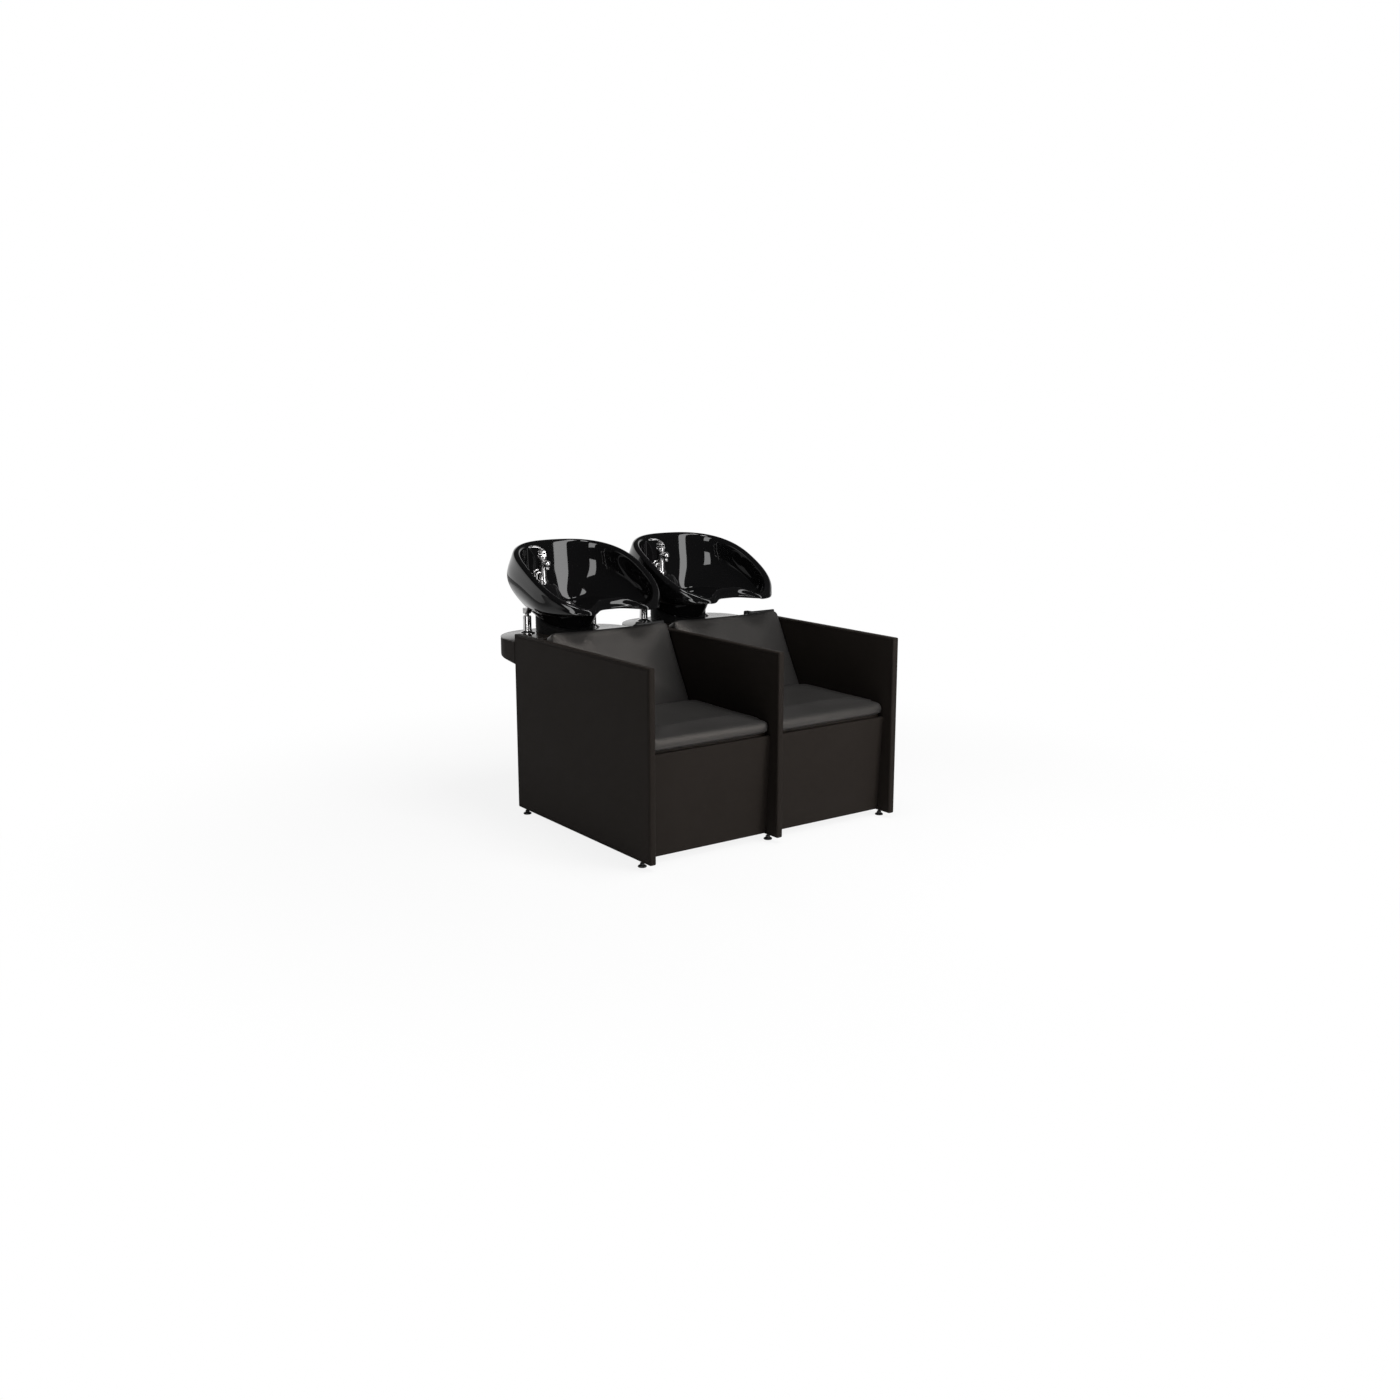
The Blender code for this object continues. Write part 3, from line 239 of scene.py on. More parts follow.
DOME = (
    (0.0, 0.0105), (0.010, 0.0102), (0.0165, 0.0085), (0.0188, 0.0055), (0.019, 0.003), (0.019, 0.0),
    (0.0, 0.0))
EAR = ((0.0, 0.0025), (0.0066, 0.0025), (0.0075, 0.0016), (0.0075, -0.0025), (0.0, -0.0025))
EAR_ASIDE = 0.0159
EAR_FOOT_LOW = Vector((-0.0075, -0.0025, 0.004))
EAR_FOOT_HIGH = Vector((0.0075, 0.0025, 0.019))
LEVER_PIVOT = 0.019
LEVER_PIN_RADIUS = 0.0028
LEVER_PIN_HALF = 0.0175
BARREL_RADIUS = 0.006
BARREL_HALF = 0.0128
BARREL_CHAMFER = (0.0005, 0.0008)
PADDLE_SIZE = Vector((0.070, 0.032, 0.0125))
PADDLE_CUTS = 9
PADDLE_WAIST = 0.84
PADDLE_ROOT_HEIGHT = 1.10
PADDLE_THINNING = 0.40
PADDLE_PLACE = Vector((-0.024, 0.0, 0.003))
PADDLE_ARCH = 0.011
PADDLE_TURN = math.radians(16.0)

# Pipes
PIPE_RADIUS = 0.005
PIPE_SPACING = 0.016
PIPE_STEP = 0.009
PIPE_STRAIGHT = 0.0075
PIPE_STEPS = 12
PIPE_NUT = ((0.0, 0.008), (0.0062, 0.008), (0.0078, 0.007), (0.0078, 0.001), (0.0072, 0.0), (0.0, 0.0))

# Feet
FOOT_PAD = (
    (0.0, 0.0078), (0.009, 0.0078), (0.0125, 0.0066), (0.0150, 0.0048), (0.016, 0.003), (0.016, 0.0008),
    (0.0152, 0.0), (0.0, 0.0))
FOOT_NUT = ((0.0, 0.0150), (0.0078, 0.0150), (0.009, 0.0142), (0.009, 0.0078), (0.0, 0.0078))
THREAD_CREST = 0.0050
THREAD_ROOT = 0.0043
THREAD_TURNS = 24
THREAD_PITCH = 0.0015
STEM_CHAMFER = 0.0008
STEM_FOOT = 0.0145

# Shelf
SHELF_CORNER_WIDTH = 0.190
SHELF_CORNER_LENGTH = 0.175
SHELF_EDGE_ROUND = 0.004
DECK_EDGE_ROUND = 0.0012
SHELF_HOLE_RADIUS = 0.055
SHELF_BOX_RISE = 0.030
CUT_MARGIN = 0.1
ARC_STEPS = 20


class Link:
    """Output of a shader node. Arithmetic on it adds Math nodes to the same finish."""

    def __init__(self, finish, socket):
        self.finish = finish
        self.socket = socket

    def math(self, operation, first, second):
        return self.finish.add("ShaderNodeMath", {"operation": operation}, {0: first, 1: second})

    def __add__(self, other):
        return self.math("ADD", self, other)

    def __sub__(self, other):
        return self.math("SUBTRACT", self, other)

    def __rsub__(self, other):
        return self.math("SUBTRACT", other, self)

    def __mul__(self, other):
        return self.math("MULTIPLY", self, other)

    __radd__ = __add__
    __rmul__ = __mul__


class Finish:
    """Node tree of a material or of the world, filled one node at a time."""

    def __init__(self, owner):
        owner.use_nodes = True
        self.tree = owner.node_tree
        self.tree.nodes.clear()

    def add(self, kind, settings=None, inputs=None, output=0):
        """Add a node, give it its settings and then its sockets, and return one of its outputs."""
        node = self.tree.nodes.new(kind)
        for name, value in (settings or {}).items():
            setattr(node, name, value)
        for name, value in (inputs or {}).items():
            if isinstance(value, Link):
                self.tree.links.new(value.socket, node.inputs[name])
            else:
                node.inputs[name].default_value = value
        return Link(self, node.outputs[output]) if node.outputs else None

    def noise(self, place, scale, detail=3.0):
        """Noise from 0 to 1 over the surface, with features of about one over the scale."""
        return self.add("ShaderNodeTexNoise", None, {"Vector": place, "Scale": scale, "Detail": detail})

    def mixed(self, share, first, second):
        """Colour between two colours."""
        return self.add("ShaderNodeMix", {"data_type": "RGBA"}, {0: share, 6: first, 7: second}, 2)

    def bump(self, height, strength, distance):
        """Normal of a surface with a fine relief."""
        return self.add(
            "ShaderNodeBump", None, {"Height": height, "Strength": strength, "Distance": distance})


def surface(name, shade):
    """Material whose Principled sockets come from a function of its finish and its place on the piece."""
    made = bpy.data.materials.new(name)
    finish = Finish(made)
    place = finish.add("ShaderNodeTexCoord", None, None, "Object")
    shader = finish.add("ShaderNodeBsdfPrincipled", None, shade(finish, place))
    finish.add("ShaderNodeOutputMaterial", None, {"Surface": shader})
    return made


def rgb(red, green, blue):
    """Colour socket value from linear parts."""
    return (red, green, blue, 1.0)


def vinyl(dark, light, roughness, gloss):
    """Embossed upholstery vinyl: pebbled grain, soft patches and a dull sheen."""
    def shade(finish, place):
        cells = finish.add("ShaderNodeTexVoronoi", None, {"Vector": place, "Scale": 520.0}, "Distance")
        creases = finish.noise(place, 230.0)
        patches = finish.noise(place, 6.0)
        return {
            "Base Color": finish.mixed(patches, dark, light),
            "Roughness": roughness + (patches - 0.5) * 0.16 + (creases - 0.5) * 0.10,
            "Specular IOR Level": gloss,
            "Specular Tint": rgb(1.0, 0.90, 0.82),
            "Normal": finish.bump(cells + creases * 0.8, 0.30, 0.0006),
        }
    return shade


def glaze(finish, place):
    """Black glaze: deep gloss with the faint waviness of fired ware."""
    waves = finish.noise(place, 16.0, 1.0)
    specks = finish.noise(place, 420.0, 2.0)
    return {
        "Base Color": finish.mixed(specks, rgb(0.0022, 0.0022, 0.0024), rgb(0.0040, 0.0039, 0.0040)),
        "Roughness": 0.030 + waves * 0.020,
        "Specular IOR Level": 0.5,
        "Normal": finish.bump(waves, 0.05, 0.004),
    }


def chrome(finish, place):
    """Polished chrome with a light bloom of water marks."""
    marks = finish.noise(place, 55.0)
    return {
        "Base Color": finish.mixed(marks, rgb(0.66, 0.65, 0.65), rgb(0.54, 0.53, 0.53)),
        "Metallic": 1.0,
        "Roughness": 0.20 + marks * 0.08,
    }


def zinc(finish, place):
    """Zinc-plated steel."""
    spangle = finish.add("ShaderNodeTexVoronoi", None, {"Vector": place, "Scale": 300.0}, "Distance")
    return {
        "Base Color": finish.mixed(spangle, rgb(0.50, 0.51, 0.52), rgb(0.36, 0.37, 0.38)),
        "Metallic": 1.0,
        "Roughness": 0.28 + spangle * 0.15,
    }


def laminate(finish, place):
    """Dark glossy laminate with a fine orange peel and rubbed places."""
    rubbed = finish.noise(place, 9.0)
    peel = finish.noise(place, 340.0, 1.0)
    return {
        "Base Color": finish.mixed(rubbed, rgb(0.030, 0.024, 0.021), rgb(0.046, 0.038, 0.033)),
        "Roughness": 0.14 + rubbed * 0.10,
        "Specular IOR Level": 0.35,
        "Normal": finish.bump(peel, 0.04, 0.0005),
    }


def rubber(finish, place):
    """Black rubber with moulding bloom."""
    bloom = finish.noise(place, 30.0)
    fine = finish.noise(place, 700.0, 2.0)
    return {
        "Base Color": finish.mixed(bloom, rgb(0.006, 0.006, 0.006), rgb(0.015, 0.015, 0.015)),
        "Roughness": 0.48 + bloom * 0.2,
        "Normal": finish.bump(fine, 0.12, 0.0004),
    }


def plastic(dark, light):
    """Moulded plastic with a fine spark-eroded texture."""
    def shade(finish, place):
        spark = finish.noise(place, 900.0, 2.0)
        cloud = finish.noise(place, 22.0)
        return {
            "Base Color": finish.mixed(cloud, dark, light),
            "Roughness": 0.36 + spark * 0.16,
            "Normal": finish.bump(spark, 0.18, 0.0003),
        }
    return shade


def birch(finish, place):
    """Black-stained birch plywood with its grain along the board's length."""
    stretched = finish.add("ShaderNodeMapping", None, {"Vector": place, "Scale": (3.0, 60.0, 60.0)})
    grain = finish.noise(stretched, 2.4, 6.0)
    pores = finish.noise(stretched, 14.0, 2.0)
    return {
        "Base Color": finish.mixed(grain, rgb(0.010, 0.008, 0.006), rgb(0.026, 0.020, 0.015)),
        "Roughness": 0.55 + pores * 0.2,
        "Normal": finish.bump(grain + pores * 0.5, 0.12, 0.0005),
    }


SURFACES = {
    "panel": surface("panel_vinyl", vinyl(
        rgb(0.0125, 0.0102, 0.0088), rgb(0.0165, 0.0138, 0.0120), roughness=0.54, gloss=0.05)),
    "cushion": surface("seat_vinyl", vinyl(
        rgb(0.0195, 0.0188, 0.0183), rgb(0.0265, 0.0257, 0.0250), roughness=0.40, gloss=0.42)),
    "ceramic": surface("black_glaze", glaze),
    "chrome": surface("polished_chrome", chrome),
    "steel": surface("zinc_plate", zinc),
    "deck": surface("shelf_laminate", laminate),
    "rubber": surface("bellows_rubber", rubber),
    "plastic": surface("black_moulding", plastic(rgb(0.008, 0.008, 0.008), rgb(0.014, 0.014, 0.014))),
    "pipe": surface("grey_moulding", plastic(rgb(0.22, 0.22, 0.23), rgb(0.30, 0.30, 0.31))),
    "board": surface("birch_board", birch),
}


def piece(name, bm, slot, body, *nodes, smooth=40.0):
    """Turn a bmesh into a piece that rides on a body and stands for some nodes of the frame."""
    mesh = bpy.data.meshes.new(name)
    bm.to_mesh(mesh)
    bm.free()
    mesh.shade_smooth()
    mesh.set_sharp_from_angle(angle=math.radians(smooth))
    mesh.materials.append(SURFACES[slot])
    made = bpy.data.objects.new(name, mesh)
    bpy.context.scene.collection.objects.link(made)
    if body:
        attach(made, body)
    if nodes:
        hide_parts(*nodes)
    return made


def middle(node):
    """Middle of a node's box."""
    low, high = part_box(node)
    return (low + high) / 2


def final_mesh(made):
    """New mesh of an object as its modifiers leave it."""
    return bpy.data.meshes.new_from_object(made.evaluated_get(bpy.context.evaluated_depsgraph_get()))


def baked(made):
    """Give a piece the result of its modifiers for good."""
    mesh = final_mesh(made)
    made.modifiers.clear()
    made.data = mesh


def subdivided(made, levels):
    """Smooth a piece by subdivision."""
    modifier = made.modifiers.new("smooth", "SUBSURF")
    modifier.levels = levels
    modifier.render_levels = levels


def smoothstep(share):
    """Smooth rise from 0 to 1 as a share goes from 0 to 1."""
    return share * share * (3 - 2 * share)


def rounded(bm, edges, offset, segments):
    """Round some edges of a bmesh."""
    bmesh.ops.bevel(
        bm, geom=edges, offset=offset, segments=segments, profile=0.5, affect="EDGES", material=-1)


def box(low, high):
    """Box between two corners."""
    bm = bmesh.new()
    bmesh.ops.create_cube(bm, size=1.0)
    bmesh.ops.scale(bm, verts=bm.verts, vec=high - low)
    bmesh.ops.translate(bm, verts=bm.verts, vec=(low + high) / 2)
    return bm


def node_copy(node):
    """Bmesh of a node's solid with its corners joined."""
    bm = bmesh.new()
    bm.from_mesh(frame["nodes"][node].data)
    bmesh.ops.remove_doubles(bm, verts=bm.verts, dist=1e-5)
    return bm


def cylinder(radius, start, end):
    """Outline of a plain cylinder between two heights."""
    return [(0.0, start), (radius, start), (radius, end), (0.0, end)]


def chamfered(radius, half, chamfer):
    """Outline of a cylinder about its middle, with chamfered ends."""
    narrow, low = radius - chamfer[0], half - chamfer[1]
    return [(0.0, half), (narrow, half), (radius, low), (radius, -low), (narrow, -half), (0.0, -half)]


def headed(head, foot, tall):
    """Outline of a column from its head and its foot."""
    return [*((radius, tall + height) for radius, height in head), *foot]


def spun(profile, place, steps=48, axis=UP):
    """Turned shape: a profile of (radius, height) spun about an axis through a place."""
    bm = bmesh.new()
    verts = [bm.verts.new((radius, 0.0, height)) for radius, height in profile]
    edges = [bm.edges.new(pair) for pair in zip(verts, verts[1:])]
    bmesh.ops.spin(
        bm, geom=verts + edges, axis=UP, cent=(0.0, 0.0, 0.0), angle=2 * math.pi, steps=steps,
        use_merge=True)
    bmesh.ops.remove_doubles(bm, verts=bm.verts, dist=1e-6)
    bmesh.ops.recalc_face_normals(bm, faces=bm.faces)
    turn = UP.rotation_difference(axis).to_matrix().to_4x4()
    bmesh.ops.transform(bm, verts=bm.verts, matrix=Matrix.Translation(place) @ turn)
    return bm


def joined(*shapes):
    """One bmesh holding several."""
    bm = bmesh.new()
    for shape in shapes:
        mesh = bpy.data.meshes.new("part")
        shape.to_mesh(mesh)
        shape.free()
        bm.from_mesh(mesh)
        bpy.data.meshes.remove(mesh)
    return bm


def sewn_seam(bm, faces):
    """Press a sewn line into some faces, close inside their edges."""
    bmesh.ops.inset_individual(bm, faces=faces, thickness=SEAM_INSET, depth=0.0)
    bmesh.ops.inset_individual(bm, faces=faces, thickness=SEAM_WIDTH / 2, depth=-SEAM_DEPTH)
    bmesh.ops.inset_individual(bm, faces=faces, thickness=SEAM_WIDTH / 2, depth=SEAM_DEPTH)


def side_panels():
    """Three boards wrapped in vinyl, with a sewn line round both broad faces."""
    for side in PANELS:
        low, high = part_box(f"{side}_side_panel")
        bm = box(low, high)
        rounded(bm, bm.edges[:], PANEL_ROUND, 4)
        broad = sorted(bm.faces, key=lambda face: -face.calc_area())[:2]
        sewn_seam(bm, broad)
        piece(f"{side}_panel_cover", bm, "panel", "sofa", f"{side}_side_panel")


def aprons():
    """Front boards wrapped in vinyl, rolled over at the top."""
    for side in SIDES:
        node = f"{side}_apron"
        low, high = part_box(node)
        corners = [vert.co for vert in frame["nodes"][node].data.vertices]
        top_front = min(corners, key=lambda co: (round(-co.z, 2), co.y))
        foot_front = min(corners, key=lambda co: (round(co.z, 2), co.y))
        lean = math.atan2(top_front.y - foot_front.y, top_front.z - foot_front.z)
        bm = box(Vector((low.x, 0.0, low.z)), Vector((high.x, APRON_THICKNESS, high.z)))
        top = [edge for edge in bm.edges if min(v.co.z for v in edge.verts) > middle(node).z]
        rounded(bm, top, APRON_ROUND, 4)
        for vert in bm.verts:
            vert.co.y += foot_front.y + math.tan(lean) * (vert.co.z - low.z)
        piece(f"{side}_apron_cover", bm, "panel", "sofa", node)


def rear_panels():
    """Rear boards wrapped in vinyl, pushed up against the side panels."""
    for side in SIDES:
        node = f"{side}_rear_panel"
        low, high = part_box(node)
        bm = box(low - REAR_REACH, high + REAR_REACH)
        rounded(bm, bm.edges[:], REAR_ROUND, 3)
        piece(f"{side}_rear_cover", bm, "panel", "sofa", node)


def seat_boards():
    """Boards under the seats, which reach back below the foot of the back cushion."""
    for side in SIDES:
        node = f"{side}_seat_board"
        low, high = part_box(node)
        high.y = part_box(f"{side}_back_cushion")[0].y + BOARD_UNDER_BACK
        bm = box(low, high)
        rounded(bm, bm.edges[:], BOARD_ROUND, 2)
        piece(f"{node}_sheet", bm, "board", "sofa", node)


def loose_cushion(node, face):
    """Copy of a cushion's solid as a fine even mesh, held where it doesn't face its user."""
    made = piece(f"{node}_cover", node_copy(node), "cushion", None, node)
    remesh = made.modifiers.new("even", "REMESH")
    remesh.mode = "VOXEL"
    remesh.voxel_size = CUSHION_VOXEL
    baked(made)
    soften_nose(node, made.data)
    group = made.vertex_groups.new(name="held")
    for vert in made.data.vertices:
        share = min(1.0, max(0.0, vert.normal.dot(face) - FACE_EDGE) / FACE_FULL)
        group.add([vert.index], 1 - share, "REPLACE")
    return made


def smoothed(bm, verts, passes):
    """Draw vertices towards their neighbours a number of times."""
    for step in range(passes):
        bmesh.ops.smooth_vert(
            bm, verts=verts, factor=0.5, use_axis_x=True, use_axis_y=True, use_axis_z=True)


def soften_nose(node, mesh):
    """Round the edges of a cushion and the front of a seat, then stretch it back to its size."""
    low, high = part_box(node)
    bm = bmesh.new()
    bm.from_mesh(mesh)
    smoothed(bm, bm.verts, EDGE_PASSES)
    nose = [vert for vert in bm.verts if "seat" in node and vert.co.y < low.y + NOSE_LENGTH]
    smoothed(bm, nose, NOSE_PASSES)
    for axis in range(3):
        reach = [vert.co[axis] for vert in bm.verts]
        start, end = min(reach), max(reach)
        scale = (high[axis] - low[axis] - 2 * CUSHION_CLEAR) / (end - start)
        for vert in bm.verts:
            vert.co[axis] = low[axis] + CUSHION_CLEAR + (vert.co[axis] - start) * scale
    bm.to_mesh(mesh)
    bm.free()
    mesh.shade_smooth()


def cushions():
    """Seat and back cushions, blown up as cloth that is held at the sides and underneath."""
    made = {}
    for side in SIDES:
        for part, face in CUSHION_FACES.items():
            node = f"{side}_{part}_cushion"
            made[node] = loose_cushion(node, face)
    rest = {node: [vert.co.copy() for vert in cover.data.vertices] for node, cover in made.items()}
    for cover in made.values():
        cloth = cover.modifiers.new("swell", "CLOTH").settings
        for name, value in CUSHION_CLOTH.items():
            setattr(cloth, name, value)
        cloth.effector_weights.gravity = 0.0
    for step in range(1, CUSHION_FRAMES + 1):
        bpy.context.scene.frame_set(step)
    graph = bpy.context.evaluated_depsgraph_get()
    for node, cover in made.items():
        swollen = [vert.co.copy() for vert in cover.evaluated_get(graph).data.vertices]
        cover.modifiers.clear()
        settle(node, cover, rest[node], swollen)
    bpy.context.scene.frame_set(1)
    for cover in made.values():
        cover.vertex_groups.clear()
        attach(cover, "sofa")
        subdivided(cover, 1)


def settle(node, cover, rest, swollen):
    """Even out how a cushion swelled, and keep it within its movement and between its neighbours."""
    low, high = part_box(node)
    moves = bmesh.new()
    moves.from_mesh(cover.data)
    for vert, start, end in zip(moves.verts, rest, swollen):
        vert.co = end - start
    smoothed(moves, moves.verts, SWELL_PASSES)
    for vert, start, even in zip(cover.data.vertices, rest, moves.verts):
        move = even.co.copy()
        if move.length > CUSHION_CAP:
            move = move.normalized() * CUSHION_CAP
        place = start + move
        place.x = min(high.x - CUSHION_CLEAR, max(low.x + CUSHION_CLEAR, place.x))
        place.y = min(high.y + CUSHION_PROUD, max(low.y - CUSHION_PROUD, place.y))
        place.z = min(high.z + CUSHION_PROUD, max(low.z, place.z))
        vert.co = place
    moves.free()


def back_caps():
    """Black bars at the right end of each back's top edge."""
    for side in SIDES:
        node = f"{side}_back_cap"
        bm = node_copy(node)
        bmesh.ops.dissolve_limit(bm, angle_limit=BACK_CAP_FLAT, verts=bm.verts, edges=bm.edges)
        bmesh.ops.translate(bm, verts=bm.verts, vec=-UP * BACK_CAP_SINK)
        made = piece(f"{node}_bar", bm, "plastic", "sofa", node)
        bevel = made.modifiers.new("edges", "BEVEL")
        bevel.width = BACK_CAP_ROUND
        bevel.segments = 2
        bevel.limit_method = "ANGLE"


def shelf_outline(bm, low, high):
    """Flat outline of a shelf: square at the sofa, rounded at its rear corners."""
    points = [(low.x, low.y)]
    for centre_x, first in ((low.x + SHELF_CORNER_WIDTH, 1.0), (high.x - SHELF_CORNER_WIDTH, 0.0)):
        for step in range(ARC_STEPS + 1):
            angle = math.pi / 2 * (first + 1.0 - step / ARC_STEPS)
            across = SHELF_CORNER_WIDTH * math.cos(angle)
            points.append((centre_x + across, high.y - SHELF_CORNER_LENGTH * (1 - math.sin(angle))))
    points.append((high.x, low.y))
    return bm.faces.new([bm.verts.new((x, y, high.z)) for x, y in points])


def shelves():
    """Vinyl-wrapped shelf boxes that taper to the rear, each under a laminate deck."""
    for side in SIDES:
        for part, slot, soft in (("box", "panel", SHELF_EDGE_ROUND), ("deck", "deck", DECK_EDGE_ROUND)):
            node = f"{side}_shelf_{part}"
            low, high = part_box(node)
            rise = SHELF_BOX_RISE if part == "box" else 0.0
            bm = bmesh.new()
            top = shelf_outline(bm, low, high)
            made = bmesh.ops.extrude_face_region(bm, geom=[top])["geom"]
            for vert in made:
                if isinstance(vert, bmesh.types.BMVert):
                    vert.co.z = low.z + rise * (vert.co.y - low.y) / (high.y - low.y)
            bmesh.ops.recalc_face_normals(bm, faces=bm.faces)
            half = middle(node).z
            rims = [edge for edge in bm.edges if len({vert.co.z > half for vert in edge.verts}) == 1]
            rounded(bm, rims, soft, 3)
            board = piece(f"{node}_board", bm, slot, "sofa", node)
            hole = middle(f"{side}_waste_strainer")
            outline = cylinder(SHELF_HOLE_RADIUS, low.z - CUT_MARGIN, high.z + CUT_MARGIN)
            drilled(board, spun(outline, Vector((hole.x, hole.y, 0.0))))


def drilled(made, cutter):
    """Cut a bmesh out of a piece for good."""
    mesh = bpy.data.meshes.new("cutter")
    cutter.to_mesh(mesh)
    cutter.free()
    tool = bpy.data.objects.new("cutter", mesh)
    bpy.context.scene.collection.objects.link(tool)
    cut = made.modifiers.new("cut", "BOOLEAN")
    cut.operation = "DIFFERENCE"
    cut.object = tool
    baked(made)
    made.data.set_sharp_from_angle(angle=math.radians(35.0))
    bpy.data.objects.remove(tool)


def signed_power(value, squareness):
    """Coordinate of a superellipse from a sine or cosine."""
    return math.copysign(abs(value) ** (2 / squareness), value)


def rim_point(angle, inset, drop):
    """Point of the bowl's rim, moved in from its outline and down from its tilted plane."""
    sine, cosine = math.sin(angle), math.cos(angle)
    length = (BOWL_REAR_LENGTH if cosine > 0 else BOWL_FRONT_LENGTH) - inset
    u = (BOWL_HALF_WIDTH - inset) * signed_power(sine, BOWL_SQUARENESS)
    v = length * signed_power(cosine, BOWL_SQUARENESS)
    if cosine < 0:
        share = min(1.0, abs(u) / NOTCH_HALF_WIDTH)
        v += NOTCH_DEPTH * (1 + math.cos(math.pi * share ** NOTCH_FLATNESS)) / 2
    arch = RIM_ARCH_REAR if v > 0 else RIM_ARCH_FRONT
    sink = drop + arch * (v / RIM_ARCH_SPAN) ** 2
    along = Vector((0.0, math.cos(RIM_TILT), math.sin(RIM_TILT)))
    normal = Vector((0.0, -math.sin(RIM_TILT), math.cos(RIM_TILT)))
    return RIM_MIDDLE + Vector((u, 0.0, 0.0)) + along * v - normal * sink


def ring_point(angle, radius, place, slope=0.0):
    """Point of a circle round a place, rising to the rear by a slope."""
    back = radius * math.cos(angle)
    return place + Vector((radius * math.sin(angle), back, back * slope))


def front_blend(angle):
    """0 on the rear half of the bowl, rising smoothly to 1 over its front."""
    return smoothstep(min(1.0, 2 * max(0.0, -math.cos(angle))))


def body_point(angle, rim, inset):
    """Point of the bowl's widest outline, which follows the rim at the front."""
    sine, cosine = math.sin(angle), math.cos(angle)
    front = max(0.0, -cosine)
    blend = front_blend(angle)
    drop = BODY_DROP_SIDE + (BODY_DROP_REAR - BODY_DROP_SIDE) * max(0.0, cosine)
    pull = front ** LIP_PULL
    z = (rim.z - drop) * (1 - pull) + (LIP_BOTTOM + inset) * pull
    y = rim.y
    if cosine > 0:
        y = RIM_MIDDLE.y + (BODY_REAR_LENGTH - inset) * signed_power(cosine, BODY_SQUARENESS)
    wide = Vector(((BOWL_HALF_WIDTH - inset) * signed_power(sine, BODY_SQUARENESS), y, z))
    under_lip = Vector((rim.x * LIP_TUCK, rim.y + LIP_SETBACK + inset, z))
    return wide * (1 - blend) + under_lip * blend


def outer_places(angle):
    """Outside of the bowl: rim, widest place, shoulder of the trunk and the trunk's lower edge."""
    sine, cosine = math.sin(angle), math.cos(angle)
    front = max(0.0, -cosine)
    rim = rim_point(angle, 0.0, LIP_DROP)
    end = ring_point(angle, TRUNK_RADIUS, TRUNK_PLACE, TRUNK_SLOPE)
    flare = SHOULDER_FLARE_SIDE * abs(sine) + SHOULDER_FLARE_FRONT * front
    rise = SHOULDER_RISE_REAR + (SHOULDER_RISE_FRONT - SHOULDER_RISE_REAR) * front
    shoulder = end + Vector((sine * flare, cosine * flare, rise))
    return rim, body_point(angle, rim, 0.0), shoulder, end


def inner_places(angle):
    """Inside of the bowl: rim, middle and foot of the sloping wall, and the land round the drain."""
    rim = rim_point(angle, LIP_WIDTH, LIP_DROP)
    share = (1 - math.cos(angle)) / 2
    reach = FLOOR_REACH_REAR + (FLOOR_REACH_FRONT - FLOOR_REACH_REAR) * share
    foot = ring_point(angle, reach, DRAIN_PLACE + UP * FLOOR_RISE)
    under_lip = body_point(angle, rim, WALL_THICKNESS)
    slope = RIM_MIDDLE + (rim - RIM_MIDDLE) * INSIDE_TAPER
    slope.z = under_lip.z
    land = ring_point(angle, DRAIN_LAND_RADIUS, DRAIN_PLACE)
    return rim, slope.lerp(under_lip, front_blend(angle)), foot, land


def spline(places):
    """Points of a smooth curve through some places."""
    guides = [places[0] * 2 - places[1], *places, places[-1] * 2 - places[-2]]
    points = [places[0]]
    for a, b, c, d in zip(guides, guides[1:], guides[2:], guides[3:]):
        for step in range(1, SPAN_RINGS + 1):
            share = step / SPAN_RINGS
            bend = (a * 2 - b * 5 + c * 4 - d) * share ** 2 + (b * 3 - a - c * 3 + d) * share ** 3
            points.append((b * 2 + (c - a) * share + bend) / 2)
    return points


def bowl_rings():
    """Rings of the bowl's skin from the trunk's edge, over the lip, to the hollow under the drain.

    Also says which of the rings are on the inside.
    """
    even = [2 * math.pi * step / BOWL_SEGMENTS for step in range(BOWL_SEGMENTS)]
    under = DRAIN_PLACE - UP * FLOOR_THICKNESS
    meridians = []
    for angle in (turn + math.sin(turn) / 2 for turn in even):
        lip = [
            rim_point(angle, LIP_WIDTH * share, LIP_DROP * (2 * share - 1) ** 2) for share in LIP_SHARES]
        outside = spline(outer_places(angle))[::-1]
        inside = spline(inner_places(angle))
        drain = [
            ring_point(angle, DRAIN_RADIUS, DRAIN_PLACE),
            ring_point(angle, DRAIN_RADIUS, under),
            ring_point(angle, DRAIN_LAND_RADIUS, under),
            ring_point(angle, TRUNK_RADIUS - TRUNK_WALL, TRUNK_PLACE, TRUNK_SLOPE),
        ]
        meridians.append(outside + lip + inside + drain)
    return list(zip(*meridians)), slice(len(outside + lip), len(outside + lip + inside))


